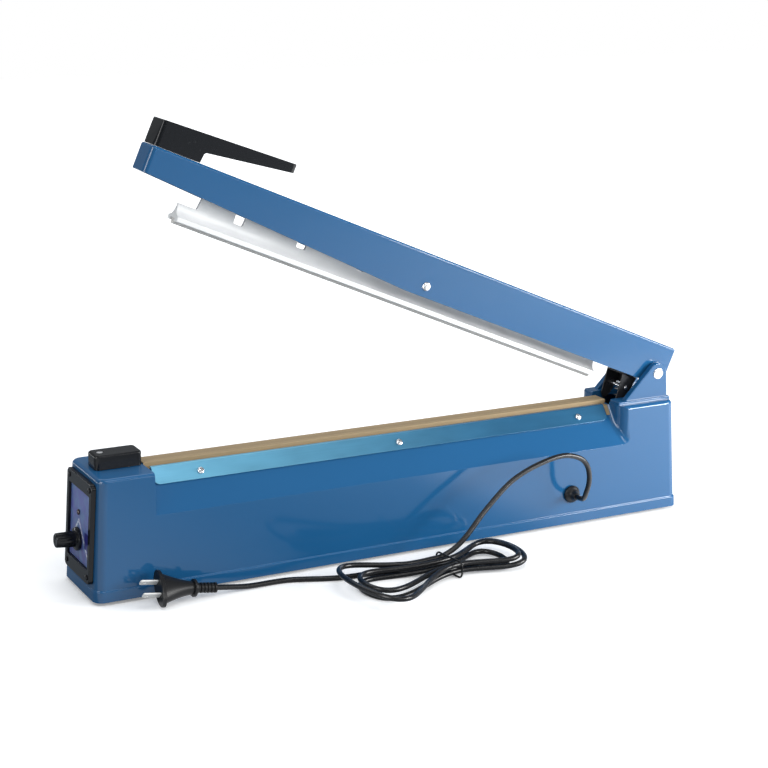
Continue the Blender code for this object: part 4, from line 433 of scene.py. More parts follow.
@dataclass(frozen=True)
class Woven(Finish):
    """Coated glass cloth: a fine plain weave under a waxy, browned coat."""

    thread: float = 0.0009

    def wired(self, graph: Graph) -> bpy.types.Material:
        """Wire the weave's two sets of threads, and scorch along the band.

        Args:
            graph: the material to wire.

        Returns:
            The material.
        """
        along = self.threads(graph, graph.axis(0))
        across = self.threads(graph, graph.axis(1))
        weave = (along + across) * 0.5
        stain = graph.noise((35.0, 160.0, 160.0), 3.0)
        scorch = 1.0 - (graph.axis(1).size() * 1000.0).ramp(1.2, 4.2)
        dark = (stain * 0.5 + weave * 0.25 + scorch * 0.25).clamped()
        return graph.finish({
            "Base Color": graph.mix(dark, shade(self.colour, 1.22), shade(self.colour, 0.72)),
            "Roughness": self.roughness + weave * 0.1,
            "Normal": graph.bump(weave, 0.35, 0.0002)})

    def threads(self, graph: Graph, place: Socket) -> Socket:
        """Ridges of one set of threads."""
        wave = graph.maths("SINE", place * (2.0 * pi / self.thread), 0.0)
        return wave * 0.5 + 0.5


@dataclass(frozen=True)
class Wound(Finish):
    """Enamelled wire wound in layers round the X axis."""

    wire: float = 0.0007

    def wired(self, graph: Graph) -> bpy.types.Material:
        """Wire the turns as fine ridges with a tape's darker cloud.

        Args:
            graph: the material to wire.

        Returns:
            The material.
        """
        ridge = graph.maths("SINE", graph.axis(2) * (2.0 * pi / self.wire), 0.0) * 0.5 + 0.5
        cloud = graph.noise((90.0, 90.0, 90.0), 3.0)
        return graph.finish({
            "Base Color": graph.mix(cloud, self.colour, shade(self.colour, 0.6)),
            "Metallic": 0.5, "Roughness": self.roughness + cloud * 0.15,
            "Normal": graph.bump(ridge, 0.6, 0.0003)})


@dataclass(frozen=True)
class Stacked(Finish):
    """Core of thin sheets stacked along Y."""

    sheet: float = 0.0005

    def wired(self, graph: Graph) -> bpy.types.Material:
        """Wire the sheets' edges, with oil stain.

        Args:
            graph: the material to wire.

        Returns:
            The material.
        """
        ridge = graph.maths("SINE", graph.axis(1) * (2.0 * pi / self.sheet), 0.0) * 0.5 + 0.5
        cloud = graph.noise((60.0, 60.0, 60.0), 4.0)
        return graph.finish({
            "Base Color": graph.mix(cloud, self.colour, shade(self.colour, 1.8)),
            "Metallic": 0.8, "Roughness": self.roughness + ridge * 0.1,
            "Normal": graph.bump(ridge, 0.4, 0.0002)})


@dataclass(frozen=True)
class Circuit(Finish):
    """Circuit board: lacquered tracks between bare lanes."""

    def wired(self, graph: Graph) -> bpy.types.Material:
        """Wire right-angled tracks.

        Args:
            graph: the material to wire.

        Returns:
            The material.
        """
        cells = graph.node("ShaderNodeTexVoronoi", {"distance": "CHEBYCHEV"},
                           {"Vector": graph.stretched((260.0, 260.0, 260.0)), "Scale": 1.0})
        track = cells.ramp(0.30, 0.36)
        return graph.finish({
            "Base Color": graph.mix(track, self.colour, shade(self.colour, 2.6)),
            "Roughness": self.roughness + track * 0.15,
            "Normal": graph.bump(track, 0.4, 0.0001)})


@dataclass(frozen=True)
class Printed(Finish):
    """Generic printed panel: a shaded blue field, a graduated wedge and a plain square."""

    top: Colour = (0.105, 0.125, 0.41)
    low: Colour = (0.085, 0.085, 0.31)
    haze: Colour = (0.11, 0.20, 0.42)
    ink: Colour = (0.80, 0.84, 0.88)
    mark: Colour = (0.010, 0.010, 0.16)

    def wired(self, graph: Graph) -> bpy.types.Material:
        """Wire the field and the marks in millimetres on the leaning face.

        Args:
            graph: the material to wire.

        Returns:
            The material.
        """
        across = graph.axis(1) * 1000.0
        up = (graph.axis(2) * cos(PANEL_LEAN) + graph.axis(0) * sin(PANEL_LEAN)) * 1000.0
        up = up - (62.0 * cos(PANEL_LEAN) - 297.17 * sin(PANEL_LEAN))
        field_colour = graph.mix(up.ramp(-34.0, 30.0), self.low, self.top)
        cloud = graph.noise((70.0, 120.0, 90.0), 3.0)
        field_colour = graph.mix(cloud.ramp(0.35, 0.70), field_colour, self.haze)
        side, drop = (across - 4.0).size(), up - 5.5
        lane = drop + side * 1.15
        wedge = self.band(lane, -3.6, 0.0) * self.band(drop, -34.0, 0.0)
        ticks = graph.maths("FRACT", drop * 0.30, 0.0) > 0.30
        inked = graph.mix(wedge * (0.30 + ticks * 0.45), field_colour, self.ink)
        square = self.band(across, -24.0, -11.5) * self.band(up, -18.0, -3.0)
        inked = graph.mix(square, inked, self.mark)
        fibre = graph.noise((900.0, 900.0, 900.0), 2.0)
        return graph.finish({
            "Base Color": inked, "Roughness": self.roughness + fibre * 0.1,
            "Coat Weight": 0.35, "Normal": graph.bump(fibre, 0.06, 0.0001)})

    def band(self, value: Socket, low: float, high: float) -> Socket:
        """One where a value lies between two limits."""
        return (value > low) * (value < high)


def shade(colour: Colour, share: float) -> Colour:
    """Colour made lighter or darker by a share."""
    return (colour[0] * share, colour[1] * share, colour[2] * share)


BLUE = Moulded("blue_plastic", (0.012, 0.092, 0.226), 0.10, gloss=0.0, texture=0.03, specks=0.0)
BLACK = Moulded("black_plastic", (0.004, 0.005, 0.007), 0.16, gloss=0.0, texture=0.06,
                specks=0.03, shine=0.3)
RUBBER = Moulded("black_rubber", (0.006, 0.006, 0.007), 0.36, gloss=0.0, texture=0.35,
                 specks=0.06, shine=0.4)
CORD = Moulded("cord_black", (0.005, 0.005, 0.006), 0.28, gloss=0.05, texture=0.2, specks=0.06)
# The clamp's colour is its light panel end; its darkening along the plate is a painted reflection.
CLAMP = Filmed("clamp_steel", (0.150, 0.43, 0.61), 0.22)
STEEL = Metal("bright_steel", (0.80, 0.81, 0.83), 0.24, grain=(500.0, 500.0, 500.0))
PLATED = Metal("plated_steel", (0.66, 0.67, 0.69), 0.32, grain=(60.0, 600.0, 600.0), dents=0.4)
NICKEL = Metal("nickel", (0.88, 0.87, 0.84), 0.42, metallic=0.15, grain=(300.0, 300.0, 300.0),
               streak=0.15)
ALUMINIUM = Metal("aluminium", (0.80, 0.805, 0.80), 0.5, grain=(14.0, 2200.0, 2200.0),
                  metallic=0.2, streak=0.3)
BLACK_STEEL = Metal("black_steel", (0.020, 0.021, 0.024), 0.38, metallic=0.3,
                    grain=(400.0, 400.0, 400.0))
BRASS = Metal("brass", (0.60, 0.40, 0.16), 0.30, grain=(90.0, 900.0, 900.0))
NICHROME = Metal("heating", (0.50, 0.47, 0.43), 0.34)
CLOTH = Woven("release_cloth", (0.285, 0.205, 0.108), 0.60)
SILICONE = Finish("silicone", (0.66, 0.64, 0.61), 0.62)
INSULATION = Woven("insulation", (0.66, 0.62, 0.50), 0.7)
LABEL = Printed("label", (0.1, 0.2, 0.5), 0.35)
LAMP = Moulded("lamp_dark", (0.030, 0.008, 0.014), 0.16, gloss=0.3)
PLUNGER = Moulded("plunger_red", (0.40, 0.020, 0.018), 0.35)
BOARD = Circuit("board", (0.018, 0.095, 0.040), 0.4)
CORE = Stacked("core_steel", (0.10, 0.095, 0.09), 0.45)
WINDING = Wound("winding", (0.48, 0.21, 0.07), 0.35)
SWITCH = Moulded("switch_case", (0.014, 0.014, 0.015), 0.45)


class Form:
    """Mesh being modelled with bmesh operators, in millimetres."""

    def __init__(self, mesh: bmesh.types.BMesh | None = None) -> None:
        """Start empty or from a mesh."""
        self.bm = mesh or bmesh.new()

    @classmethod
    def prism(cls, outline: Sequence[Point2], low: float, high: float, axis: Axis,
              radii: Sequence[float] = (), steps: int = 6) -> "Form":
        """Outline drawn out along an axis.

        Args:
            outline: its corners in order.
            low: where it starts.
            high: where it ends.
            axis: the direction.
            radii: rounding of each corner, or nothing.
            steps: segments in each rounding.

        Returns:
            The closed form.
        """
        form = cls()
        corners = [form.bm.verts.new(axis.place(a, b, low)) for a, b in outline]
        form.bm.faces.new(corners)
        count = len(outline)
        for number, radius in enumerate(radii):
            if radius > 0.0:
                here = Vector(outline[number])
                ways = [Vector(outline[(number + step) % count]) - here for step in (-1, 1)]
                run = radius / tan(ways[0].angle(ways[1]) / 2.0)
                bmesh.ops.bevel(form.bm, geom=[corners[number]], offset=run, segments=steps,
                                profile=0.5, affect="VERTICES", offset_type="OFFSET")
        made = bmesh.ops.extrude_face_region(form.bm, geom=form.bm.faces[:])
        moved = [item for item in made["geom"] if isinstance(item, bmesh.types.BMVert)]
        bmesh.ops.translate(form.bm, vec=axis.place(0.0, 0.0, high - low), verts=moved)
        return form.mended()

    @classmethod
    def block(cls, low: Point3, high: Point3, edge: float = 0.0, steps: int = 3) -> "Form":
        """Block between two corners, its edges rounded.

        Args:
            low: lowest corner.
            high: highest corner.
            edge: rounding of its edges.
            steps: segments in the rounding.

        Returns:
            The block.
        """
        form = cls()
        size = Vector(high) - Vector(low)
        middle = (Vector(high) + Vector(low)) / 2.0
        matrix = Matrix.Translation(middle) @ Matrix.Diagonal((*size, 1.0))
        bmesh.ops.create_cube(form.bm, size=1.0, matrix=matrix)
        return form.softened(edge, steps) if edge > 0.0 else form

    @classmethod
    def turned(cls, profile: Sequence[Point2], steps: int = 40, axis: Vector | None = None,
               centre: Point3 = (0.0, 0.0, 0.0)) -> "Form":
        """Profile spun round an axis.

        Args:
            profile: (radius, height) points from one end to the other.
            steps: sides of the turned form.
            axis: its axis, or up.
            centre: where its height is nought.

        Returns:
            The turned form.
        """
        form = cls()
        verts = [form.bm.verts.new((radius, 0.0, height)) for radius, height in profile]
        edges = [form.bm.edges.new(pair) for pair in zip(verts, verts[1:])]
        bmesh.ops.spin(form.bm, geom=verts + edges, cent=(0.0, 0.0, 0.0), axis=(0.0, 0.0, 1.0),
                       dvec=(0.0, 0.0, 0.0), angle=2.0 * pi, steps=steps, use_merge=True)
        turn = (axis or Vector((0.0, 0.0, 1.0))).to_track_quat("Z", "Y").to_matrix().to_4x4()
        return form.mended().moved(Matrix.Translation(centre) @ turn)

    @classmethod
    def rod(cls, radius: float, start: float, end: float, axis: Vector | None = None,
            centre: Point3 = (0.0, 0.0, 0.0), edge: float = 0.0, steps: int = 32) -> "Form":
        """Round rod with rounded rims.

        Args:
            radius: its radius.
            start: lower end along its axis.
            end: upper end along its axis.
            axis: its axis, or up.
            centre: where its height is nought.
            edge: rounding of its rims.
            steps: its sides.

        Returns:
            The rod.
        """
        profile = [(0.0, start), (radius - edge, start), (radius, start + edge),
                   (radius, end - edge), (radius - edge, end), (0.0, end)]
        if edge <= 0.0:
            profile = [(0.0, start), (radius, start), (radius, end), (0.0, end)]
        return cls.turned(profile, steps, axis, centre)

    @classmethod
    def drawn(cls, start: "Form", sections: Sequence[Point3], axis: Axis) -> "Form":
        """Flat form drawn out through scaled sections.

        Args:
            start: a form of one face whose plane is at nought along the axis.
            sections: (along, first scale, second scale) of each section.
            axis: the direction.

        Returns:
            The closed form.
        """
        bm = start.bm
        cap = bm.faces[:]
        before = None
        for number, (along, first, second) in enumerate(sections):
            now = (Matrix.Translation(axis.place(0.0, 0.0, along))
                   @ Matrix.Diagonal((*axis.place(first, second, 1.0), 1.0)))
            if before is None:
                bmesh.ops.transform(bm, matrix=now, verts=bm.verts[:])
            else:
                made = bmesh.ops.extrude_face_region(bm, geom=cap)
                if number > 1:
                    bmesh.ops.delete(bm, geom=cap, context="FACES_ONLY")
                verts = [v for v in made["geom"] if isinstance(v, bmesh.types.BMVert)]
                bmesh.ops.transform(bm, matrix=now @ before.inverted(), verts=verts)
                cap = [f for f in made["geom"] if isinstance(f, bmesh.types.BMFace)]
            before = now
        return start.mended()

    @classmethod
    def disc(cls, steps: int, axis: Axis) -> "Form":
        """Flat round form of radius one, facing along an axis.

        Args:
            steps: its sides.
            axis: the direction it faces.

        Returns:
            The form, of one face.
        """
        form = cls()
        quarter = pi / 2.0
        turn = {Axis.X: Matrix.Rotation(quarter, 4, "Y"), Axis.Y: Matrix.Rotation(quarter, 4, "X"),
                Axis.Z: Matrix.Identity(4)}[axis]
        bmesh.ops.create_circle(form.bm, cap_ends=True, radius=1.0, segments=steps, matrix=turn)
        return form

    def mended(self) -> "Form":
        """Merge doubled points and turn the normals outward.

        Returns:
            This form.
        """
        bmesh.ops.remove_doubles(self.bm, verts=self.bm.verts[:], dist=0.0005)
        bmesh.ops.recalc_face_normals(self.bm, faces=self.bm.faces[:])
        return self

    def moved(self, matrix: Matrix) -> "Form":
        """Move, turn or scale the whole form."""
        bmesh.ops.transform(self.bm, matrix=matrix, verts=self.bm.verts[:])
        return self

    def softened(self, size: float, steps: int = 2, over: float = 30.0,
                 where: Callable[[Vector, Vector], bool] | None = None) -> "Form":
        """Round the edges that turn by more than an angle.

        Args:
            size: width of the rounding.
            steps: its segments.
            over: least angle between faces, in degrees.
            where: says from its two ends whether an edge is taken.

        Returns:
            This form.
        """
        edges = [edge for edge in self.bm.edges
                 if len(edge.link_faces) == 2 and edge.calc_face_angle(0.0) > radians(over)
                 and (where is None or where(edge.verts[0].co, edge.verts[1].co))]
        bmesh.ops.bevel(self.bm, geom=edges, offset=size, offset_type="OFFSET", segments=steps,
                        profile=0.5, affect="EDGES", clamp_overlap=True, material=-1)
        return self.mended()

    def merged(self, other: "Form", how: Merge) -> "Form":
        """Add, cut or keep by another form.

        Args:
            other: the form that acts; it is used up.
            how: what it does.

        Returns:
            This form.
        """
        pair = []
        for form in (self, other):
            mesh = bpy.data.meshes.new("form")
            form.bm.to_mesh(mesh)
            form.bm.free()
            made = bpy.data.objects.new("form", mesh)
            bpy.context.collection.objects.link(made)
            pair.append(made)
        modifier = pair[0].modifiers.new("merge", "BOOLEAN")
        modifier.operation = how.value
        modifier.solver = "EXACT"
        modifier.object = pair[1]
        graph = bpy.context.evaluated_depsgraph_get()
        result = bpy.data.meshes.new_from_object(pair[0].evaluated_get(graph))
        self.bm = bmesh.new()
        self.bm.from_mesh(result)
        for made in pair:
            mesh = made.data
            bpy.data.objects.remove(made)
            bpy.data.meshes.remove(mesh)
        bpy.data.meshes.remove(result)
        return self.mended()

    def built(self, name: str, place: Matrix, finish: Finish, body: Body,
              covers: Iterable[str] = (), crease: float = 32.0) -> bpy.types.Object:
        """Turn the form into a finished piece that rides a body.

        Args:
            name: name of the piece.
            place: frame it was modelled in.
            finish: its finish.
            body: CAD body it rides.
            covers: CAD nodes it stands for.
            crease: least angle in degrees that shades sharp.

        Returns:
            The piece.
        """
        self.mended().moved(place)
        mesh = bpy.data.meshes.new(name)
        for face in self.bm.faces:
            face.smooth = True
        self.bm.to_mesh(mesh)
        self.bm.free()
        mesh.set_sharp_from_angle(angle=radians(crease))
        mesh.materials.append(finish.material())
        made = bpy.data.objects.new(name, mesh)
        bpy.context.collection.objects.link(made)
        even = made.modifiers.new("even_shading", "WEIGHTED_NORMAL")
        even.mode, even.weight, even.keep_sharp = "FACE_AREA", 80, True
        return settle(made, body, covers)


def settle(made: bpy.types.Object, body: Body, covers: Iterable[str]) -> bpy.types.Object:
    """Let a piece ride its body and stand for its CAD nodes, and log it.

    Args:
        made: the piece.
        body: CAD body it rides.
        covers: CAD nodes it stands for.

    Returns:
        The piece.
    """
    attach(made, body.value)
    names = list(covers)
    if names:
        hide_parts(*names)
    log.info("%s rides %s", made.name, body.value)
    return made


def dress(nodes: dict[str, Finish], rounding: float = 0.0) -> None:
    """Give CAD nodes that stay their finish.

    Args:
        nodes: finish by node.
        rounding: width in metres of a live bevel, or nought.
    """
    for name, finish in nodes.items():
        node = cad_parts[name]
        node.data.materials.clear()
        node.data.materials.append(finish.material())
        if rounding > 0.0:
            bevel = node.modifiers.new("edge", "BEVEL")
            bevel.width = rounding
            bevel.segments = 2
            bevel.limit_method = "ANGLE"
            bevel.angle_limit = radians(40.0)
        log.info("%s keeps its CAD mesh in %s", name, finish.name)


def side_half(height: float) -> float:
    """Half width of the housing at a height above its lower edge."""
    return HALF_WIDTH - SIDE_DRAFT * height / HEIGHT


@dataclass
class Camera:
    """Camera fitted to the photo."""

    place: Point3 = (-0.8073, -1.5090, 0.6223)
    right: Point3 = (0.8832, -0.4687, 0.0145)
    up: Point3 = (0.1108, 0.2387, 0.9647)
    lens: float = 88.78

    def build(self) -> None:
        """Place the camera and make it the scene's."""
        right, up = Vector(self.right).normalized(), Vector(self.up)
        back = right.cross(up).normalized()
        up = back.cross(right)
        turn = Matrix((right, up, back)).transposed().to_4x4()
        data = bpy.data.cameras.new("camera")
        data.lens = self.lens
        made = bpy.data.objects.new("camera", data)
        made.matrix_world = Matrix.Translation(self.place) @ turn
        bpy.context.collection.objects.link(made)
        bpy.context.scene.camera = made
        bpy.context.scene.view_settings.view_transform = "Standard"
        log.info("camera")


@dataclass
class Studio:
    """Pale floor, white surround and soft lights."""

    floor_half: float = 4.0
    lights: tuple[tuple[str, Point3, Point3, float, float, float], ...] = (
        ("over", (-0.10, -0.75, 1.45), (-0.2, 0.0, 0.1), 0.7, 0.6, 3.8),
        ("back", (0.0, 1.00, 1.7), (0.0, 0.0, 0.1), 2.4, 1.2, 10.0),
        ("right", (1.45, -1.05, 0.55), (0.35, -0.25, 0.02), 0.8, 0.6, 26.0),
        ("left", (-2.0, -0.3, 1.3), (-0.2, 0.0, 0.15), 0.9, 1.2, 1.2),
        ("strip", (0.40, -1.15, 0.56), (0.05, 0.0, 0.1), 1.3, 0.16, 3.0),
    )
    card_place: Point3 = (-1.90, -0.74, 1.05)
    card_target: Point3 = (-0.24, -0.01, 0.38)
    beam_place: Point3 = (1.30, -1.50, 0.40)
    beam_target: Point3 = (0.44, -0.04, 0.12)
    beam_width: float = 19.0
    beam_power: float = 80.0

    def build(self) -> None:
        """Make the floor, the world and the lights."""
        self.floor()
        self.world()
        for name, place, target, wide, tall, power in self.lights:
            self.soft(name, place, target, wide, tall, power)
        card = self.soft("card", self.card_place, self.card_target, 0.9, 1.5, 24.0)
        card.visible_diffuse = False
        self.beam()
        log.info("studio")

    def soft(self, name: str, place: Point3, target: Point3, wide: float, tall: float,
             power: float) -> bpy.types.Object:
        """Soft light with an oblong face.

        Args:
            name: its name.
            place: where it stands, in metres.
            target: what it faces.
            wide: width in metres.
            tall: height in metres.
            power: power in watts.

        Returns:
            The light.
        """
        data = bpy.data.lights.new(name, "AREA")
        data.shape = "RECTANGLE"
        data.size, data.size_y, data.energy = wide, tall, power
        return self.aimed(data, place, target)

    def beam(self) -> None:
        """Narrow beam on the hinge end, as in the photographed light."""
        data = bpy.data.lights.new("beam", "SPOT")
        data.energy, data.shadow_soft_size = self.beam_power, 0.25
        data.spot_size, data.spot_blend = radians(self.beam_width), 0.30
        self.aimed(data, self.beam_place, self.beam_target)

    def aimed(self, data: bpy.types.Light, place: Point3, target: Point3) -> bpy.types.Object:
        """Light put at a place and turned to face a target.

        Args:
            data: the light's settings.
            place: where it stands, in metres.
            target: what it faces.

        Returns:
            The light.
        """
        made = bpy.data.objects.new(data.name, data)
        way = (Vector(target) - Vector(place)).to_track_quat("-Z", "Y")
        made.matrix_world = Matrix.Translation(place) @ way.to_matrix().to_4x4()
        bpy.context.collection.objects.link(made)
        return made

    def floor(self) -> None:
        """Pale paper floor under the feet; out of the camera's sight it carries a painted light
        gradient and patches that glow only in reflections, painting highlights on the object.
        """
        bm = bmesh.new()
        bmesh.ops.create_grid(bm, x_segments=1, y_segments=1, size=self.floor_half)
        mesh = bpy.data.meshes.new("floor")
        bm.to_mesh(mesh)
        bm.free()
        graph = Graph("look_floor")
        paper = graph.noise((60.0, 60.0, 60.0), 3.0)
        seen = graph.node("ShaderNodeLightPath", {}, {}, 0)
        pale = graph.mix(paper, (0.90, 0.90, 0.90), (0.93, 0.93, 0.93))
        # Painted light gradient: for every ray but the camera's the floor is dark at the left and
        # pale at the right, so its bounce and reflections light the right end.
        spread = graph.mix(graph.axis(0).ramp(-0.25, 0.75), (0.26, 0.28, 0.30),
                           (0.95, 0.95, 0.95))
        far = graph.axis(1).ramp(0.2, 1.6)
        glow = graph.mix(far, (0.20, 0.20, 0.20), (0.75, 0.75, 0.75))
        # Painted reflections: patches of the floor in front of the object, at its left and far to
        # the left glow for glossy rays only, to paint highlights on the fronts and the arm's tip
        # edge.
        mirrored = graph.node("ShaderNodeLightPath", {}, {}, 3)
        near = graph.axis(1).ramp(-0.62, -0.46) * (graph.axis(1) < -0.05)
        painted_reflection_patch = graph.axis(0).ramp(0.13, 0.22) * 0.17 + graph.axis(0).ramp(-0.02, -0.30) * 0.10
        painted_reflection_patch = painted_reflection_patch * near + graph.axis(0).ramp(-1.05, -1.15)
        painted_reflection_glow = graph.mix(painted_reflection_patch * mirrored, (0.0, 0.0, 0.0), (8.0, 8.0, 8.0))
        graph.finish({"Base Color": graph.mix(seen, spread, pale),
                      "Emission Color": graph.mix(seen, painted_reflection_glow, glow),
                      "Emission Strength": 1.0, "Roughness": 0.9, "Specular IOR Level": 0.0})
        mesh.materials.append(graph.material)
        made = bpy.data.objects.new("floor", mesh)
        bpy.context.collection.objects.link(made)

    def world(self) -> None:
        """White to the camera, softer to everything else."""
        world = bpy.data.worlds.new("surround")
        world.use_nodes = True
        bpy.context.scene.world = world
        nodes, links = world.node_tree.nodes, world.node_tree.links
        nodes.clear()
        path = nodes.new("ShaderNodeLightPath")
        white, soft = nodes.new("ShaderNodeBackground"), nodes.new("ShaderNodeBackground")
        white.inputs["Color"].default_value = (1.0, 1.0, 1.0, 1.0)
        soft.inputs["Color"].default_value = (0.92, 0.96, 1.0, 1.0)
        level = nodes.new("ShaderNodeMath")
        level.operation = "MULTIPLY_ADD"
        level.inputs[1].default_value, level.inputs[2].default_value = -0.50, 0.78
        links.new(path.outputs["Is Glossy Ray"], level.inputs[0])
        links.new(level.outputs[0], soft.inputs["Strength"])
        mix = nodes.new("ShaderNodeMixShader")
        out = nodes.new("ShaderNodeOutputWorld")
        links.new(path.outputs["Is Camera Ray"], mix.inputs[0])
        links.new(soft.outputs[0], mix.inputs[1])
        links.new(white.outputs[0], mix.inputs[2])
        links.new(mix.outputs[0], out.inputs[0])


@dataclass
class MainsCord:
    """Cord from its gland through the tied hank to the plug."""

    radius: float = 2.5
    gland_face: float = -51.94
    gland_z: float = GLAND_RISE + FOOT
    hank_place: Point3 = (318.0, -103.0, 0.0)
    swing: float = radians(9.0)
    turns: int = 3
    steps: int = 110
    plug_place: Point3 = (105.5, -60.0, 7.4)
    lead: tuple[Point3, ...] = (
        (-1.4, -65, 36), (-2.4, -70, 43.5), (-1.5, -72.5, 54), (-2.2, -73, 64), (-5.5, -73, 73),
        (-12.6, -72.5, 80), (-25.7, -72.2, 84.6), (-39, -72.5, 85), (-55, -73.2, 82.2),
        (-72, -74.2, 77.5), (-88, -75.5, 71), (-101, -77.5, 63.5), (-114, -80, 54),
        (-127, -83, 44), (-138, -86, 34.6), (-148, -88.3, 26), (-157, -88.9, 19.2),
        (-165, -89, 14.9), (-174, -89.2, 11.9), (-185, -88.9, 10.9), (-197, -88.2, 10))
    tail: tuple[Point3, ...] = (
        (-232, -80, 2.5), (-245, -77.5, 2.5), (-259, -76.5, 2.5), (-273, -74.5, 2.5),
        (-287, -70, 2.5), (-301, -64.5, 2.5), (-315, -60, 2.5), (-329, -59, 2.6),
        (-343, -59.6, 2.9), (-355, -60, 3.4), (-366, -60, 4.6))

    def plug_turn(self) -> Matrix:
        """Turn of the plug: X along the blades, Y along its flange."""
        return (Matrix.Rotation(pi, 3, "Z") @ Matrix.Rotation(radians(-8.5), 3, "Y")
                @ Matrix.Rotation(radians(-42.0), 3, "X"))

    def plug_frame(self) -> Matrix:
        """Frame of the plug in the base's millimetres."""
        return Matrix.Translation(self.plug_place) @ self.plug_turn().to_4x4()

    def hank_frame(self) -> Matrix:
        """Frame of the hank in the base's millimetres."""
        return Matrix.Translation(self.hank_place) @ Matrix.Rotation(self.swing, 4, "Z")

    def hank_point(self, turns: float) -> Vector:
        """Place on the hank after a number of turns.

        Args:
            turns: turns from the waist's front run.

        Returns:
            The place in the base's millimetres.
        """
        middle = self.turns / 2.0
        high, order = turns < middle, abs(turns - middle)
        angle = 2.0 * pi * (turns % 1.0)
        left = angle < pi
        if left:
            reach, spread = (((90.0, 17.0), (20.0, 26.0)) if high
                             else ((88.0, 7.5), (20.0, 8.0)))
        else:
            reach, spread = (58.0, 15.0), (19.6, 9.6)
        length, width = reach[0] + reach[1] * order, spread[0] + spread[1] * order
        bulge = sin(2.0 * angle) * abs(sin(angle)) * (1.0 if left else -1.0)
        x = -length * sin(angle)
        y = (3.4 + 6.4 * order) * cos(angle) + width * bulge
        climb = min(max((turns - middle + 0.25) / 0.5, 0.0), 1.0)
        layer = 6.0 * (0.5 + 0.5 * cos(pi * climb))
        lift = 2.6 * (0.5 + 0.5 * cos(pi * min(abs(x) / 60.0, 1.0)))
        lift += 6.0 * order * sin(angle) ** 2
        if left and high:
            y -= 11.0 * order * sin(angle) ** 2
        elif left:
            lift = max(0.0, lift - 6.0 * order * sin(angle) ** 2)
        return self.hank_frame() @ Vector((x, y, self.radius + layer + lift))

    def hank(self) -> list[Vector]:
        """Points along the hank."""
        start, count = 0.35 / (2.0 * pi), self.turns * self.steps
        return [self.hank_point(start + self.turns * i / count) for i in range(count + 1)]

    def smoothed(self, route: Sequence[Vector]) -> list[Vector]:
        """Points on a smooth curve through a route, whose end legs stay straight.

        Args:
            route: points that the curve passes.

        Returns:
            Points a few millimetres apart.
        """
        dense = [route[0]]
        for before, start, end, after in zip(route, route[1:], route[2:], route[3:]):
            for step in range(6):
                t = step / 6.0
                dense.append(0.5 * (2.0 * start + (end - before) * t
                                    + (2.0 * before - 5.0 * start + 4.0 * end - after) * t ** 2
                                    + (3.0 * start - before - 3.0 * end + after) * t ** 3))
        return dense + [route[-2], route[-1]]

    def route(self) -> list[Vector]:
        """Whole line of the cord, from the gland to the plug.

        Returns:
            Points in the base's millimetres.
        """
        hank = self.hank()
        start_way = (hank[0] - hank[1]).normalized()
        end_way = (hank[-1] - hank[-2]).normalized()
        end_way.z = 0.0
        outlet = Vector((GLAND_X, 0.0, 0.0))
        first = Vector((GLAND_X, self.gland_face, self.gland_z))
        lead = [first, first + Vector((0.0, -5.0, 0.0))]
        lead += [outlet + Vector(point) for point in self.lead]
        lead += [hank[0] + start_way * 5.3, hank[0] + start_way * 0.3]
        way = self.plug_turn() @ Vector((1.0, 0.0, 0.0))
        end = Vector(self.plug_place) - way * 0.3
        tail = [hank[-1] + end_way * 0.3, hank[-1] + end_way * 5.3]
        tail += [outlet + Vector(point) for point in self.tail] + [end - way * 5.0, end]
        return self.smoothed(lead) + hank + self.smoothed(tail)

    def tube(self, name: str, points: Sequence[Vector], radius: float, closed: bool,
             finish: Finish) -> bpy.types.Object:
        """Round curve through points of the base's millimetres.

        Args:
            name: its name.
            points: the line.
            radius: its radius in millimetres.
            closed: whether its ends join.
            finish: its finish.

        Returns:
            The curve object.
        """
        curve = bpy.data.curves.new(name, "CURVE")
        curve.dimensions = "3D"
        curve.bevel_depth = radius * MM
        curve.bevel_resolution = 5
        curve.use_fill_caps = not closed
        spline = curve.splines.new("POLY")
        spline.points.add(len(points) - 1)
        for knot, point in zip(spline.points, points):
            knot.co = (*(BASE_FRAME @ point), 1.0)
        spline.use_cyclic_u = closed
        spline.use_smooth = True
        curve.materials.append(finish.material())
        made = bpy.data.objects.new(name, curve)
        bpy.context.collection.objects.link(made)
        return made

    def build(self) -> None:
        """Make the cord, its gland, its tie and its plug."""
        points = self.route()
        length = sum((b - a).length for a, b in zip(points, points[1:])) * MM
        cord = self.tube("cord", points, self.radius, False, CORD)
        settle(cord, Body.BASE, ("cord_lead", "cord_hank", "cord_tail"))
        pieces = [self.gland(), self.tie(), *self.plug()]
        list(BASE_FRAME @ points[0])
        log.info("cord %.3f m", length)

    def gland(self) -> bpy.types.Object:
        """Rubber gland with a domed flange and a short sleeve.

        Returns:
            The gland.
        """
        face = 0.9 - side_half(GLAND_RISE)
        profile = [(0.0, -5.8), (7.4, -5.8), (7.4, -3.1), (6.2, -3.1), (6.2, 0.3), (8.2, 0.3),
                   (8.6, 0.8), (8.6, 2.2), (8.0, 3.2), (6.4, 4.3), (4.9, 5.2), (4.3, 7.0),
                   (4.0, 9.6), (3.5, 10.8), (0.0, 10.8)]
        form = Form.turned(profile, 48, Vector((0.0, -1.0, 0.0)),
                           (GLAND_X, face, self.gland_z))
        return form.built("gland", BASE_FRAME, RUBBER, Body.BASE, ("cord_gland",), 50.0)

    def tie(self) -> bpy.types.Object:
        """Wire tie round the hank's waist, its ends joined.

        Returns:
            The tie.
        """
        bm = bmesh.new()
        outline = ((-18.8, 1.05), (18.8, 1.05), (18.8, 16.05), (-18.8, 16.05))
        corners = [bm.verts.new((0.0, y, z)) for y, z in outline]
        bm.faces.new(corners)
        bmesh.ops.bevel(bm, geom=corners, offset=4.6, segments=8, profile=0.5, affect="VERTICES")
        bm.faces.ensure_lookup_table()
        ring = [self.hank_frame() @ vert.co for vert in bm.faces[0].verts]
        bm.free()
        made = self.tube("tie", ring, 0.9, True, RUBBER)
        return settle(made, Body.BASE, ("cord_tie",))

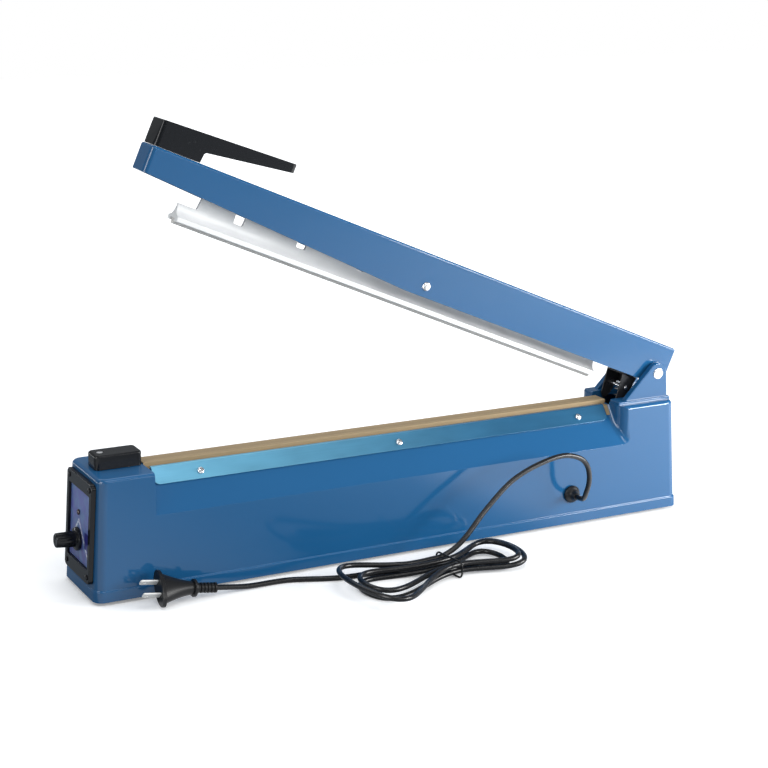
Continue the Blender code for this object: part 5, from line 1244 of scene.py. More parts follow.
    def plug(self) -> list[bpy.types.Object]:
        """Moulded plug and its two blades.

        Returns:
            The plug and then its blades.
        """
        place = BASE_FRAME @ self.plug_frame()
        ribs = []
        for rib in range(6):
            x = rib * 20.0 / 6.0
            ribs += [(4.4, x), (4.7, x + 0.3), (4.7, x + 1.9), (4.4, x + 2.2), (3.7, x + 2.35),
                     (3.7, x + 3.1)]
        relief = Form.turned([(0.0, 0.0)] + ribs + [(0.0, 19.9)], 36, Vector((1.0, 0.0, 0.0)))
        collar = Form.drawn(Form.disc(40, Axis.X), [(19.7, 6.0, 6.0), (20.1, 7.7, 7.7),
                                                    (20.6, 8.1, 8.1), (22.1, 8.1, 8.1),
                                                    (22.6, 7.7, 7.7), (22.9, 6.2, 6.2)], Axis.X)
        body = [(22.5, 6.0, 6.0)]
        for step in range(9):
            share = step / 8.0
            body.append((22.8 + 28.0 * share, 6.0 + 9.0 * share ** 1.5, 6.0 + 1.5 * share))
        body += [(51.0, 17.0, 8.2), (51.5, 18.0, 9.0), (54.2, 18.0, 9.0), (54.7, 17.4, 8.4)]
        shell = Form.drawn(Form.disc(48, Axis.X), body, Axis.X)
        form = shell.merged(collar, Merge.ADD).merged(relief, Merge.ADD)
        pieces, blades = [], []
        for side, label in ((-1.0, "front"), (1.0, "rear")):
            y = side * 6.35
            form.merged(Form.block((51.2, y - 1.05, -3.45), (58.0, y + 1.05, 3.45)), Merge.CUT)
            blade = Form.prism([(51.7, -3.15), (70.7, -3.15), (70.7, 3.15), (51.7, 3.15)],
                               y - 0.75, y + 0.75, Axis.Y, (0.0, 1.4, 1.4, 0.0))
            blade.merged(Form.rod(1.5, y - 3.0, y + 3.0, Vector((0.0, 1.0, 0.0)),
                                  (66.0, 0.0, 0.0), steps=24), Merge.CUT)
            blades.append((label, blade.softened(0.15, 1)))
        pieces.append(form.built("plug", place, RUBBER, Body.BASE, ("plug_body",), 40.0))
        for label, blade in blades:
            pieces.append(blade.built(f"plug_blade_{label}", place, NICKEL, Body.BASE,
                                      (f"{label}_plug_blade",)))
        return pieces


@dataclass
class Screw:
    """Pan-head screw with a cross recess."""

    shank: float
    length: float
    head: float
    rise: float

    def form(self, seat: Vector, axis: Vector, spin: float = 0.3) -> Form:
        """Screw with its head's seat at a point.

        Args:
            seat: under the middle of the head.
            axis: way out of the seat.
            spin: turn of the cross, in radians.

        Returns:
            The screw.
        """
        head, rise = self.head, self.rise
        crown = [(head * sin(t * pi / 12.0), rise * (0.45 + 0.55 * cos(t * pi / 12.0)))
                 for t in range(6, -1, -1)]
        profile = [(0.0, -self.length), (self.shank * 0.6, -self.length),
                   (self.shank, -self.length + 1.0), (self.shank, 0.0), (head, 0.0)] + crown
        made = Form.turned(profile, 32)
        deep, wide = rise * 0.5, head * 0.13
        for turn in (0.0, pi / 2.0):
            slot = Form.block((-head * 0.55, -wide, rise - deep), (head * 0.55, wide, rise + 2.0))
            made.merged(slot.moved(Matrix.Rotation(turn + spin, 4, "Z")), Merge.CUT)
        turn = axis.to_track_quat("Z", "Y").to_matrix().to_4x4()
        return made.moved(Matrix.Translation(seat) @ turn)


@dataclass
class Housing:
    """Moulded base with its sloping sides, hinge platform and ears."""

    wall: float = 2.5
    corner: float = 9.0
    top_edge: float = 3.5
    plinth: float = 9.5
    plinth_step: float = 0.9
    slope_start: float = 58.7
    slope_end: float = 549.5
    ramp: float = 5.0
    mouth: float = 13.0
    recess_edge: float = 1.9
    platform_start: float = 550.1
    platform_half: float = 30.5
    slot_start: float = 548.2
    slot_half: float = 15.6
    hollow_end: float = 562.5
    ear_outer: float = 28.0
    ear_thick: float = 6.8
    ear_round: float = 10.4
    ear_toe: float = 558.8
    ear_heel: float = 610.2
    post_inset: float = 30.5
    post_side: float = 20.0

    def skin(self, inset: float, bottom: float, top: float) -> Form:
        """Drafted outer shape, or the room inside it.

        Args:
            inset: how far in from the faces.
            bottom: lower end above the housing's edge.
            top: upper end above the housing's edge.

        Returns:
            The closed form, without a rounded top.
        """
        half_x, half_y = HALF_LENGTH - inset, HALF_WIDTH - inset
        corner = max(self.corner - inset, self.wall)
        plan = Form()
        verts = [plan.bm.verts.new((x, y, 0.0)) for x, y in
                 ((-half_x, -half_y), (half_x, -half_y), (half_x, half_y), (-half_x, half_y))]
        plan.bm.faces.new(verts)
        bmesh.ops.bevel(plan.bm, geom=verts, offset=corner, segments=8, profile=0.5,
                        affect="VERTICES")
        sections = []
        rim, step_in = self.plinth, self.plinth_step
        for level, step in ((bottom, 0.0), (rim, 0.0), (rim + step_in, step_in), (top, step_in)):
            inner_x = HALF_LENGTH - END_DRAFT * level / HEIGHT - step - inset
            inner_y = side_half(level) - step - inset
            sections.append((FOOT + level, inner_x / half_x, inner_y / half_y))
        form = Form.drawn(plan, sections, Axis.Z)
        return form.moved(Matrix.Translation((HALF_LENGTH, 0.0, 0.0)))

    def above_slopes(self, inset: float, start: float, end: float, ramp: float) -> Form:
        """Room above the sloping sides.

        Args:
            inset: how far it is lowered square to the slopes.
            start: panel end of it.
            end: hinge end of it.
            ramp: rounding between each slope and the hinge end wall.

        Returns:
            The room.
        """
        reach, foot_half = 85.0, side_half(SLOPE_FOOT - FOOT)
        slope = (RIDGE_TOP - SLOPE_FOOT) / (foot_half - RIDGE_HALF)
        angle = atan2(slope, 1.0)
        drop = inset / cos(angle)
        land_half = RIDGE_HALF - inset * tan(angle / 2.0)
        low = SLOPE_FOOT - drop - (reach - foot_half) * slope
        land, sky = RIDGE_TOP - inset, HEIGHT + 20.0
        outline = [(-reach, sky), (-reach, low), (-land_half, land), (land_half, land),
                   (reach, low), (reach, sky)]
        if ramp <= 0.0:
            return Form.prism(outline, start, end, Axis.X)
        form = Form.prism(outline, start - 0.5, end + self.mouth + 0.5, Axis.X)
        form.merged(self.mouth_plan(start, end, reach + 9.0), Merge.KEEP)

        def at_ramp(a: Vector, b: Vector) -> bool:
            """Whether an edge lies between a slope and the hinge end wall.

            Args:
                a: one end of the edge.
                b: its other end.

            Returns:
                True where it does.
            """
            floor = all(abs(p.z - land + (abs(p.y) - land_half) * slope) < 0.05 for p in (a, b))
            return (floor and min(a.x, b.x) > end - 0.1 and max(abs(a.y), abs(b.y)) < foot_half
                    and abs(a.y - b.y) > 0.01)
        return form.softened(ramp, 10, 20.0, at_ramp)

    def mouth_plan(self, start: float, end: float, reach: float) -> Form:
        """Plan of the room over the slopes, with a soft corner at its hinge end.

        Args:
            start: panel end of it.
            end: hinge end of it.
            reach: half of its width.

        Returns:
            The room, over the whole height.
        """
        face, turn = side_half(SLOPE_FOOT - FOOT) - self.plinth_step, self.mouth
        corner = [(end + turn * (1.0 - cos(pi * step / 16.0)),
                   face - turn * (1.0 - sin(pi * step / 16.0))) for step in range(9)]
        half = corner + [(end + turn, reach), (start, reach)]
        return Form.prism(half + [(x, -y) for x, y in reversed(half)], -60.0, 140.0, Axis.Z)

    def ear(self) -> list[Point2]:
        """Side view of an ear: a toe in front, a round top about the pin and a steep heel.

        Returns:
            Its outline.
        """
        radius, low, high = self.ear_round, PLATFORM_TOP - 6.5, PLATFORM_TOP - 0.8
        points = [(self.ear_toe, low), (self.ear_toe, high)]
        for end, way in ((self.ear_toe, -1.0), (self.ear_heel, 1.0)):
            leg = Vector((end, high)) - Vector((HINGE.x, HINGE.z))
            turn = atan2((leg.length ** 2 - radius ** 2) ** 0.5, radius)
            points.append(atan2(leg.y, leg.x) % (2.0 * pi) + way * turn)
        first, last = points[2], points[3] - 2.0 * pi
        rest = []
        for step in range(25):
            turn = first + (last - first) * step / 24.0
            rest.append((HINGE.x + radius * cos(turn), HINGE.z + radius * sin(turn)))
        return points[:2] + rest + [(self.ear_heel, high), (self.ear_heel, low)]

    def build(self) -> None:
        """Make the housing."""
        form = self.skin(0.0, 0.0, HEIGHT)
        form.softened(self.top_edge, 5, 30.0, lambda a, b: min(a.z, b.z) > HEIGHT + FOOT - 0.1)
        form.softened(0.5, 2, 30.0, lambda a, b: 12.0 < a.z < 14.0 and 12.0 < b.z < 14.0
                      and abs(a.z - b.z) < 0.1)
        room = self.above_slopes(0.0, self.slope_start, self.slope_end, self.ramp)
        form.merged(room, Merge.CUT)

        def on_recess(a: Vector, b: Vector) -> bool:
            """Whether an edge lies on the room over the slopes.

            Args:
                a: one end of the edge.
                b: its other end.

            Returns:
                True where it does.
            """
            inside = self.slope_start - 0.1 < min(a.x, b.x) and max(a.x, b.x) < 562.3
            return inside and min(a.z, b.z) > SLOPE_FOOT - 3.5
        form.softened(self.recess_edge, 5, 24.0, on_recess)
        half = self.platform_half
        form.merged(Form.block((self.platform_start, -half, PLATFORM_TOP - 4.25),
                               (611.8, half, PLATFORM_TOP), 1.1, 3), Merge.ADD)
        for side in (-1.0, 1.0):
            low, high = sorted((side * self.ear_outer, side * (self.ear_outer - self.ear_thick)))
            ear = Form.prism(self.ear(), low, high, Axis.Y)
            ear.softened(1.2, 3, 40.0, lambda a, b: abs(a.y - b.y) < 0.1)
            form.merged(ear, Merge.ADD)
        self.hollow(form)
        self.openings(form)
        form.built("housing_shell", BASE_FRAME, BLUE, Body.BASE, ("housing",), 28.0)

    def hollow(self, form: Form) -> None:
        """Cut the room inside the walls and add the screw posts.

        Args:
            form: the housing's outside, which is changed.
        """
        room = self.skin(self.wall, -8.0, HEIGHT - self.wall)
        start = self.slope_start - self.wall
        room.merged(self.above_slopes(self.wall, start, self.hollow_end, 0.0), Merge.CUT)
        form.merged(room, Merge.CUT)
        far = 2.0 * HALF_LENGTH
        for x, wall_x in ((self.post_inset, 4.5), (far - self.post_inset, far - 4.5)):
            for y in (-self.post_side, self.post_side):
                low, high = sorted((x, wall_x))
                form.merged(Form.block((low, y - 1.25, 7.2), (high, y + 1.25, 28.2)), Merge.ADD)
                form.merged(Form.rod(5.5, 4.8, 30.8, centre=(x, y, 0.0), steps=24), Merge.ADD)
                form.merged(Form.rod(2.05, 0.0, 19.0, centre=(x, y, 0.0), steps=20), Merge.CUT)

    def openings(self, form: Form) -> None:
        """Cut the bores, the lever's slot, the panel's window and the screw holes.

        Args:
            form: the hollow housing, which is changed.
        """
        across = Vector((0.0, 1.0, 0.0))
        form.merged(Form.rod(5.0, -34.0, 34.0, across, tuple(HINGE), steps=40), Merge.CUT)
        half = self.slot_half
        form.merged(Form.block((self.slot_start, -half, 58.0), (591.0, half, 119.0)), Merge.CUT)
        window = Form.prism([(-23.7, -31.5), (23.7, -31.5), (23.7, 31.5), (-23.7, 31.5)], -9.0,
                            9.0, Axis.X, (6.0,) * 4)
        form.merged(window.moved(PANEL_IN_BASE), Merge.CUT)
        for y in (-26.0, 26.0):
            for z in (-39.5, 39.5):
                pilot = Form.rod(1.55, -1.0, 9.5, Vector((1.0, 0.0, 0.0)), (-4.3, y, z), steps=16)
                form.merged(pilot.moved(PANEL_IN_BASE), Merge.CUT)
        outlet = (GLAND_X, -side_half(GLAND_RISE), GLAND_RISE + FOOT)
        form.merged(Form.rod(6.5, -6.0, 8.5, across, outlet), Merge.CUT)
        form.merged(Form.rod(1.8, -14.0, 6.0, centre=(21.0, 0.0, 113.0), steps=16), Merge.CUT)
        for side in (-1.0, 1.0):
            edge, down, normal = slope_lines(side)
            for x in CLAMP_SCREWS:
                seat = edge + down * CLAMP_SCREW_DOWN + Vector((x, 0.0, 0.0))
                form.merged(Form.rod(1.7, -8.5, 6.0, normal, tuple(seat), steps=16), Merge.CUT)


def slope_lines(side: float) -> tuple[Vector, Vector, Vector]:
    """Edge point of the ridge, the way down its slope and its outward normal.

    Args:
        side: minus one in front and one behind.

    Returns:
        The point and the two directions.
    """
    angle = atan2(RIDGE_TOP - SLOPE_FOOT, side_half(SLOPE_FOOT - FOOT) - RIDGE_HALF)
    edge = Vector((0.0, side * RIDGE_HALF, RIDGE_TOP))
    down = Vector((0.0, side * cos(angle), -sin(angle)))
    return edge, down, Vector((0.0, side * sin(angle), cos(angle)))


@dataclass
class SealingBed:
    """Cloth-covered bed with a clamp plate screwed down on each side."""

    start: float = 59.0
    end: float = 548.6
    half: float = 7.9
    top: float = 114.4
    cloth: float = 0.5
    hem: float = 4.4
    hem_low: float = 109.5
    plate_start: float = 63.7
    plate_end: float = 542.1
    plate: float = 1.0
    plate_low: float = 110.3
    drop: float = 16.0
    screw: Screw = field(default_factory=lambda: Screw(1.4, 6.0, 3.1, 1.9))

    def build(self) -> None:
        """Make the cloth, the plates and their screws."""
        self.cover()
        for side, label in ((-1.0, "front"), (1.0, "rear")):
            self.clamp(side, label)
        dress({"seal_bed": ALUMINIUM, "insulation_strip": INSULATION, "heating_band": NICHROME,
               "far_terminal": BRASS, "near_terminal": BRASS})

    def cover(self) -> None:
        """Cloth over the bed, with flat hems and a flap folded down at the hinge end."""
        low, outer, thick = self.hem_low, self.half + self.cloth, self.cloth
        half = [(outer + self.hem, low), (outer + self.hem, low + thick), (outer, low + thick),
                (outer, self.top)]
        inner = [(self.half, self.top - thick), (self.half, low)]
        outline = half + [(-y, z) for y, z in reversed(half)]
        outline += [(-self.half, low), (-self.half, self.top - thick)] + inner
        form = Form.prism(outline, self.start, self.end, Axis.X)
        form.softened(0.42, 3, 60.0, lambda a, b: min(a.z, b.z) > self.top - 0.1)
        form.merged(self.flap(), Merge.ADD)
        form.built("release_cover", BASE_FRAME, CLOTH, Body.BASE, ("release_cloth",), 50.0)

    def flap(self) -> Form:
        """Cloth's end folded down over the front slope, beyond the clamp plate.

        Returns:
            The flap.
        """
        edge, down, normal = slope_lines(-1.0)
        low = edge + down * 10.0 + normal * 0.35
        bend = edge + Vector((0.0, -0.3, 0.35))
        thick = normal * self.cloth
        rear = (-8.2, self.hem_low + 0.05)
        points = [rear, (bend.y, bend.z), (low.y, low.z), (low.y + thick.y, low.z + thick.z),
                  (bend.y - 0.25, bend.z + self.cloth), (rear[0], rear[1] + self.cloth)]
        form = Form.prism(points, 542.6, self.end + 0.6, Axis.X, (0.0, 0.6, 0.0, 0.0, 0.9, 0.0), 3)
        for vert in form.bm.verts:
            vert.co.x += 0.15 * max(0.0, -vert.co.y - 14.0)
        return form

    def clamp(self, side: float, label: str) -> None:
        """One bent plate with round lower corners, and its screws.

        Args:
            side: minus one in front and one behind.
            label: its name.
        """
        edge, down, normal = slope_lines(1.0)
        angle = atan2(-down.z, down.y)
        bend = Vector((RIDGE_HALF + 0.3, self.plate_low))
        along, out = Vector((down.y, down.z)), Vector((normal.y, normal.z))
        low = bend + along * self.drop
        turn = self.plate * tan(angle / 2.0)
        lip = Vector((10.9, self.plate_low))
        points = [lip, bend, low, low + out * self.plate, bend + Vector((turn, self.plate)),
                  lip + Vector((0.0, self.plate))]
        outline = [(side * point.x, point.y) for point in points]
        form = Form.prism(outline, self.plate_start, self.plate_end, Axis.X,
                          (0.0, 1.2, 0.0, 0.0, 1.8, 0.0), 5)

        def lower_corner(a: Vector, b: Vector) -> bool:
            """Whether an edge runs through the plate at a lower corner.

            Args:
                a: one end of the edge.
                b: its other end.

            Returns:
                True where it does.
            """
            return (abs(a.x - b.x) < 0.01 and max(a.z, b.z) < 101.0
                    and 0.5 < (a - b).length < 1.6)
        form.softened(5.2, 8, 60.0, lower_corner)
        form.softened(0.22, 2, 50.0, lambda a, b: True)
        edge, down, normal = slope_lines(side)
        for number, x in enumerate(CLAMP_SCREWS, 1):
            seat = edge + down * CLAMP_SCREW_DOWN + Vector((x, 0.0, 0.0))
            form.merged(Form.rod(1.7, -6.0, 6.0, normal, tuple(seat), steps=20), Merge.CUT)
            lift = 1.1 * cos(angle) + 0.3 * sin(angle) + self.plate + 0.3
            screw = self.screw.form(seat + normal * lift, normal, 0.5 * number)
            screw.built(f"clamp_screw_{label}_{number}", BASE_FRAME, STEEL, Body.BASE,
                        (f"{label}_clamp_screw_{number}",), 40.0)
        form.built(f"clamp_{label}", BASE_FRAME, CLAMP, Body.BASE, (f"{label}_clamp_plate",), 35.0)


@dataclass
class TerminalCover:
    """Black cover over the near terminal."""

    start: float = 14.0
    end: float = 57.6
    half: float = 11.0
    top: float = 126.7
    wall: float = 1.8

    def build(self) -> None:
        """Make the cover and its screw."""
        form = Form.block((self.start, -self.half, 113.3), (self.end, self.half, self.top))
        form.softened(4.2, 6, 60.0, lambda a, b: abs(a.z - b.z) > 5.0)
        form.softened(2.4, 5, 60.0, lambda a, b: min(a.z, b.z) > self.top - 0.1)
        form.softened(0.3, 2, 60.0, lambda a, b: max(a.z, b.z) < 113.4)
        room = Form.block((self.start + self.wall + 16.0, -self.half + self.wall, 107.0),
                          (self.end + 6.0, self.half - self.wall, self.top - 2.0 * self.wall))
        form.merged(room, Merge.CUT)
        seat = (COVER_SCREW_X, 0.0, self.top - 0.9)
        form.merged(Form.rod(3.3, 0.0, 4.0, centre=seat, steps=28), Merge.CUT)
        form.merged(Form.rod(1.8, -29.5, 1.0, centre=seat, steps=20), Merge.CUT)
        form.built("cover_shell", BASE_FRAME, BLACK, Body.BASE, ("terminal_cover",), 32.0)
        screw = Screw(1.5, 16.5, 3.0, 0.9).form(Vector(seat) + Vector((0.0, 0.0, 0.3)),
                                                Vector((0.0, 0.0, 1.0)), 0.6)
        screw.built("cover_pan_screw", BASE_FRAME, PLATED, Body.BASE, ("cover_screw",), 40.0)


@dataclass
class TimerPanel:
    """Bezel, printed label, lamp and time knob on the leaning end face."""

    wide: float = 64.0
    tall: float = 91.0
    proud: float = 4.0
    side: float = 6.0
    top: float = 12.0
    bottom: float = 12.5
    knob_y: float = 4.0
    knob_drop: float = 13.5
    lamp_rise: float = 11.0

    def build(self) -> None:
        """Make every piece of the panel."""
        self.bezel()
        self.label()
        self.knob()
        self.lamp()
        dress({"time_control": PLATED, "timer_board": BOARD})

    def bezel(self) -> None:
        """Black frame with softened edges and its four screws."""
        y, z = self.wide / 2.0, self.tall / 2.0
        front = -0.3 - self.proud
        form = Form.prism([(-y, -z), (y, -z), (y, z), (-y, z)], front, -0.3, Axis.X, (5.0,) * 4, 8)
        form.softened(0.9, 3, 60.0, lambda a, b: max(a.x, b.x) < front + 0.01)
        room = Form.prism([(-y + self.side, -z + self.bottom), (y - self.side, -z + self.bottom),
                           (y - self.side, z - self.top), (-y + self.side, z - self.top)],
                          -12.0, 6.0, Axis.X, (1.6,) * 4, 5)
        form.merged(room, Merge.CUT)
        form.softened(0.5, 2, 60.0, lambda a, b: max(a.x, b.x) < front + 0.01
                      and abs(a.y) < y - 4.0 and abs(a.z) < z - 9.0)
        for number, (way, end) in enumerate(((-1, -1), (1, -1), (-1, 1), (1, 1)), 1):
            seat = Vector((front, way * (y - 6.0), end * (z - 6.0)))
            form.merged(Form.rod(1.55, -12.0, 6.0, Vector((1.0, 0.0, 0.0)), tuple(seat),
                                 steps=20), Merge.CUT)
            screw = Screw(1.25, 7.0, 2.4, 1.0).form(seat - Vector((0.3, 0.0, 0.0)),
                                                    Vector((-1.0, 0.0, 0.0)), 0.4 * number)
            screw.built(f"bezel_pan_screw_{number}", PANEL_FRAME, BLACK_STEEL, Body.BASE,
                        (f"bezel_screw_{number}",), 40.0)
        form.built("bezel", PANEL_FRAME, BLACK, Body.BASE, ("panel_bezel",), 32.0)

    def label(self) -> None:
        """Printed plate behind the bezel's opening."""
        y, z = self.wide / 2.0, self.tall / 2.0
        low, high = -z + self.bottom + 0.3, z - self.top - 0.3
        side = y - self.side - 0.3
        form = Form.prism([(-side, low), (side, low), (side, high), (-side, high)], -1.9, -0.7,
                          Axis.X, (1.4,) * 4, 4)
        for height, radius in ((-self.knob_drop, 3.9), (self.lamp_rise, 2.4)):
            form.merged(Form.rod(radius, -6.0, 6.0, Vector((1.0, 0.0, 0.0)),
                                 (-1.9, self.knob_y, height), steps=32), Merge.CUT)
        form.built("label_plate", PANEL_FRAME, LABEL, Body.BASE, ("panel_label",), 32.0)

    def knob(self) -> None:
        """Skirted knob with a fluted grip and a raised pointer."""
        skirt, grip, end = 10.6, 7.2, 6.5
        profile = [(3.25, 0.0), (skirt - 0.4, 0.0), (skirt, 0.4), (skirt, 2.3), (skirt - 0.7, 3.0),
                   (grip + 0.9, 3.3), (grip, 4.0), (end, 20.0), (end - 0.4, 20.7),
                   (end - 1.2, 21.0), (end - 1.8, 20.6), (0.0, 20.6)]
        form = Form.turned(profile, 72)
        rims = [edge for edge in form.bm.edges if edge.is_boundary]
        made = bmesh.ops.extrude_edge_only(form.bm, edges=rims)["geom"]
        inner = [item for item in made if isinstance(item, bmesh.types.BMVert)]
        bmesh.ops.translate(form.bm, vec=(0.0, 0.0, 12.0), verts=inner)
        bmesh.ops.contextual_create(form.bm, geom=[item for item in made
                                                   if isinstance(item, bmesh.types.BMEdge)])
        form.mended()
        for number in range(12):
            turn = Matrix.Rotation(2.0 * pi * (number + 0.5) / 12.0, 4, "Z")
            groove = Form.rod(1.0, 5.0, 26.0, centre=(grip + 0.25, 0.0, 0.0), steps=12)
            form.merged(groove.moved(turn), Merge.CUT)
        form.softened(0.18, 2, 45.0, lambda a, b: hypot(a.x, a.y) > 5.0 and min(a.z, b.z) > 4.5)
        pointer = Form.block((1.0, -0.45, 20.3), (5.2, 0.45, 20.95), 0.2, 2)
        form.merged(pointer, Merge.ADD)
        turn = Matrix.Rotation(-pi / 2.0, 4, "Y")
        place = PANEL_FRAME @ Matrix.Translation((-2.2, self.knob_y, -self.knob_drop)) @ turn
        form.built("knob", place, BLACK, Body.KNOB, ("time_knob",), 40.0)

    def lamp(self) -> None:
        """Domed lamp lens."""
        profile = [(0.0, -9.0), (2.1, -9.0), (2.1, 0.3), (2.6, 0.3), (2.6, 0.8), (2.35, 1.35),
                   (1.7, 1.75), (0.8, 1.9), (0.0, 1.9)]
        form = Form.turned(profile, 32, Vector((-1.0, 0.0, 0.0)),
                           (-1.9, self.knob_y, self.lamp_rise))
        form.built("lamp", PANEL_FRAME, LAMP, Body.BASE, ("lamp_lens",), 50.0)


@dataclass
class Arm:
    """Sealing arm: channel, handle and pins."""

    reach: float = 584.5
    tail: float = 16.0
    top: float = 28.8
    tip_depth: float = 24.0
    depth: float = 40.2
    taper_end: float = 303.0
    tip_half: float = 14.4
    half: float = 19.6
    wall: float = 2.0
    tip_round: float = 4.6
    top_round: float = 2.2
    handle_half: float = 13.0

    def half_at(self, x: float) -> float:
        """Half width at a place in the arm's frame."""
        share = min(max((x + self.reach) / self.reach, 0.0), 1.0)
        return self.tip_half + (self.half - self.tip_half) * share

    def solid(self, inset: float) -> Form:
        """Outer shape, or the room inside it.

        Args:
            inset: nought, or the wall to keep.

        Returns:
            The closed form.
        """
        tip, tail = -self.reach + inset * 1.75, self.tail - inset
        top, below = self.top - inset, 6.0 if inset > 0.0 else 0.0
        low = self.top - self.depth - below
        outline = [(tip, top), (tip, self.top - self.tip_depth - below), (-self.taper_end, low),
                   (0.0, low), (tail, low), (tail, top), (0.0, top)]
        form = Form.prism(outline, -1.0, 1.0, Axis.Y)
        for vert in form.bm.verts:
            vert.co.y *= self.half_at(vert.co.x) - inset
        return form

    def build(self) -> None:
        """Make the channel, the handle and the pins."""
        form = self.solid(0.0)
        tip = -self.reach
        form.softened(self.tip_round, 8, 60.0, lambda a, b: max(a.x, b.x) < tip + 0.1
                      and abs(a.y - b.y) < 0.1)
        form.softened(self.top_round, 5, 60.0, lambda a, b: min(a.z, b.z) > self.top - 0.1)
        form.softened(0.6, 2, 60.0, lambda a, b: min(a.x, b.x) > self.tail - 0.1
                      and abs(a.y - b.y) < 0.1)
        form.merged(self.solid(self.wall), Merge.CUT)
        form.softened(0.35, 2, 60.0, lambda a, b: self.low_edge(a) and self.low_edge(b))
        across = Vector((0.0, 1.0, 0.0))
        form.merged(Form.rod(4.95, -28.0, 28.0, across, steps=36), Merge.CUT)
        form.merged(Form.rod(3.3, -28.0, 28.0, across, tuple(BAR_PIN), steps=28), Merge.CUT)
        for side in (-1.0, 1.0):
            low, high = sorted((side * 13.7 - 2.0, side * 13.7 + 2.0))
            form.merged(Form.block((-26.0, low, -11.7), (-16.0, high, 27.8), 0.5, 2), Merge.ADD)
        form.built("arm_shell", ARM_FRAME, BLUE, Body.ARM, ("arm_channel",), 28.0)
        self.handle()
        self.pins()

    def low_edge(self, point: Vector) -> bool:
        """Whether a point is on the channel's lower rim.

        Args:
            point: the point in the arm's frame.

        Returns:
            True where it is.
        """
        share = min(max((point.x + self.reach) / (self.reach - self.taper_end), 0.0), 1.0)
        low = self.top - self.tip_depth - (self.depth - self.tip_depth) * share
        return abs(point.z - low) < 0.25

    def handle(self) -> None:
        """Black handle, its corners and edges rounded."""
        start, floor = -self.reach + 1.2, self.top + 0.3
        block, end, blade = start + 45.5, start + 134.5, self.top + 30.0
        corners = [(start, floor), (block, floor), (block + 1.2, self.top + 9.8),
                   (end, blade - 8.2), (end, blade), (start + 1.2, self.top + 23.4)]
        half = self.handle_half
        form = Form.prism(corners, -half, half, Axis.Y, (0.0, 0.0, 2.6, 2.2, 2.2, 1.6), 5)
        plan = Form.prism([(start, -half), (end, -half), (end, half), (start, half)],
                          0.0, self.top + 40.0, Axis.Z, (5.0,) * 4, 8)
        form.merged(plan, Merge.KEEP)
        form.softened(1.0, 3, 40.0, lambda a, b: abs(a.z - floor) > 0.1 or abs(b.z - floor) > 0.1)
        form.built("handle_grip", ARM_FRAME, BLACK, Body.ARM, ("handle",), 34.0)

    def pins(self) -> None:
        """Bar pin with domed heads, and the hinge pin with soft ends."""
        across = Vector((0.0, 1.0, 0.0))
        outer = self.half_at(BAR_PIN.x) + 0.3
        rivet = [(0.0, outer + 1.6), (2.4, outer + 1.5), (3.5, outer + 1.1), (4.2, outer + 0.5),
                 (4.3, outer), (3.0, outer)]
        shaft = [(0.0, 29.1), (4.2, 29.0), (5.3, 28.6), (5.6, 28.3), (4.7, 28.3)]
        forms = []
        for half, centre in ((rivet, BAR_PIN), (shaft, HINGE)):
            profile = [(radius, -height) for radius, height in half]
            profile += [(radius, height) for radius, height in reversed(half)]
            forms.append(Form.turned(profile, 40, across, tuple(centre)))
        forms[0].built("bar_rivet", ARM_FRAME, STEEL, Body.ARM, ("bar_pin",), 50.0)
        forms[1].built("hinge_shaft", BASE_FRAME, STEEL, Body.BASE, ("hinge_pin",), 50.0)


@dataclass
class PressBar:
    """Rocking press bar: notched web, flared foot and silicone strip."""

    left: float = 254.6
    right: float = 222.6
    web: float = 1.5
    web_top: float = 9.0
    foot_top: float = 9.6
    foot_half: float = 11.0
    foot_side: float = 4.6
    foot_low: float = 24.4
    groove: float = 4.2
    notches: int = 7

    def section(self) -> list[Point2]:
        """Section of the bar: web, hollow flare, upright sides and a groove below.

        Returns:
            Its outline.
        """
        side_top = -self.foot_low + self.foot_side
        half = [(self.web, self.web_top), (self.web, -self.foot_top)]
        for step in range(1, 13):
            turn = pi / 2.0 * step / 12.0
            half.append((self.web + (self.foot_half - self.web) * (1.0 - cos(turn)),
                         -self.foot_top + (side_top + self.foot_top) * sin(turn)))
        half += [(self.foot_half, -self.foot_low + 0.7), (self.foot_half - 0.7, -self.foot_low),
                 (self.groove, -self.foot_low), (self.groove, -self.foot_low + 2.6)]
        return half + [(-y, z) for y, z in reversed(half)]

    def build(self) -> None:
        """Make the bar and its strip."""
        form = Form.prism(self.section(), -self.left, self.right, Axis.X)
        form.merged(Form.prism([(-self.left - 6.0, -8.4), (-self.left + 18.0, -8.4),
                                (-self.left + 21.0, 15.0), (-self.left - 6.0, 15.0)],
                               -11.0, 11.0, Axis.Y), Merge.CUT)
        for number in range(self.notches):
            middle = -194.6 + 66.0 * number
            notch = Form.prism([(middle - 6.2, 15.0), (middle - 4.7, -8.4), (middle + 4.7, -8.4),
                                (middle + 6.2, 15.0)], -11.0, 11.0, Axis.Y, (0.0, 1.2, 1.2, 0.0))
            form.merged(notch, Merge.CUT)
        form.merged(Form.rod(3.25, -28.0, 28.0, Vector((0.0, 1.0, 0.0)), steps=28), Merge.CUT)
        form.built("bar_extrusion", BAR_FRAME, ALUMINIUM, Body.BAR, ("press_bar",), 32.0)
        half = self.groove - 0.3
        strip = Form.prism([(-half, -self.foot_low - 2.6), (half, -self.foot_low - 2.6),
                            (half, -self.foot_low + 2.3), (-half, -self.foot_low + 2.3)],
                           -self.left + 1.0, self.right - 1.0, Axis.X, (1.4, 1.4, 0.0, 0.0))
        strip.softened(0.3, 2, 60.0)
        strip.built("seal_strip", BAR_FRAME, SILICONE, Body.BAR, ("silicone_strip",), 35.0)


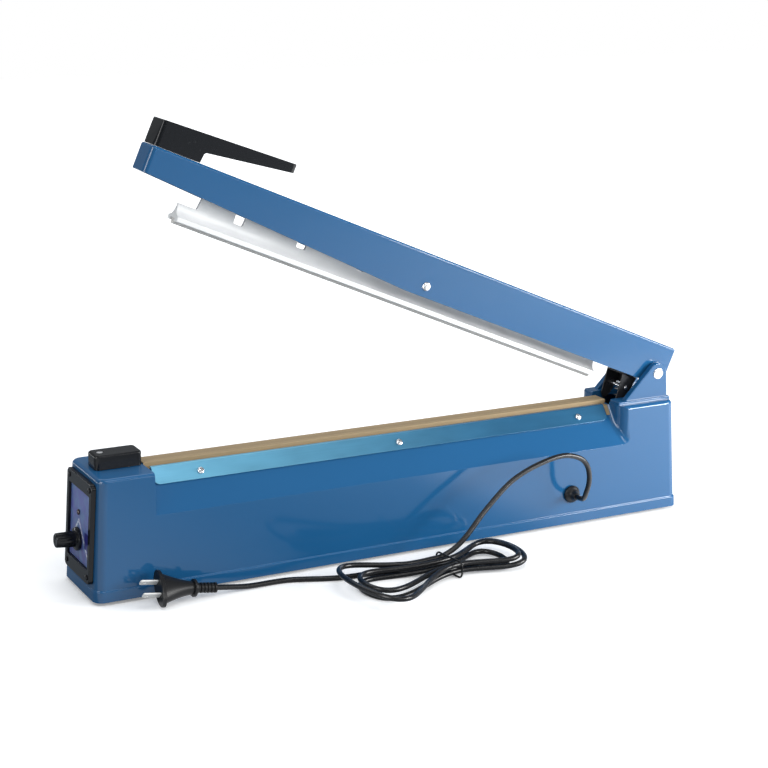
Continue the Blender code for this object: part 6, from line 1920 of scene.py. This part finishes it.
@dataclass
class LiftLever:
    """Black folded lever under the arm, with its cross pin."""

    outer: float = 13.7
    sheet: float = 1.4
    pin_place: Point3 = (-20.8, 0.0, -25.0)

    def build(self) -> None:
        """Make the lever and its pin."""
        outline = [(-30.0, -12.0), (-26.5, -38.0), (-21.0, -44.0), (-16.0, -36.0), (-12.0, -12.0)]
        form = Form.prism(outline, -self.outer, self.outer, Axis.Y, (0.0, 2.0, 2.0, 2.0, 0.0), 5)
        form.softened(0.9, 3, 60.0, lambda a, b: max(a.z, b.z) > -12.1 and abs(a.y - b.y) < 0.1
                      and abs(a.z - b.z) < 0.1)
        inner = self.outer - self.sheet
        form.merged(Form.block((-56.0, -inner, -50.0), (-13.6, inner, -13.4)), Merge.CUT)
        form.merged(Form.block((-15.0, -inner, -50.0), (1.0, inner, -32.0)), Merge.CUT)
        across = Vector((0.0, 1.0, 0.0))
        form.merged(Form.rod(2.3, -28.0, 28.0, across, self.pin_place, steps=24), Merge.CUT)
        form.softened(0.25, 2, 60.0, lambda a, b: min(abs(a.y), abs(b.y)) > self.outer - 0.01)
        form.built("lever", ARM_FRAME, BLACK_STEEL, Body.ARM, ("lift_lever",), 35.0)
        pin = Form.rod(2.0, -15.1, 15.1, across, self.pin_place, 0.4)
        pin.built("lever_rivet", ARM_FRAME, STEEL, Body.ARM, ("lever_pin",), 50.0)


@dataclass
class Inside:
    """Bottom, feet and inner parts, whose CAD meshes stay."""

    def build(self) -> None:
        """Dress every CAD node that stays."""
        dress({"bottom_plate": PLATED, "mechanism_bracket": PLATED, "lift_spring": STEEL,
               "micro_switch": SWITCH, "switch_plunger": PLUNGER, "transformer_core": CORE,
               "transformer_coil": WINDING, "core_screw_1": PLATED, "core_screw_2": PLATED})
        for number in range(1, 5):
            dress({f"foot_{number}": RUBBER, f"base_screw_{number}": PLATED})


def main() -> None:
    """Build every sub-assembly in order."""
    logging.basicConfig(level=logging.INFO, format="%(name)s: %(message)s")
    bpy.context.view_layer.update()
    for part in (Camera(), MainsCord(), Studio(), Housing(), SealingBed(), TerminalCover(),
                 TimerPanel(), Arm(), PressBar(), LiftLever(), Inside()):
        part.build()


if __name__ == "__main__":
    main()
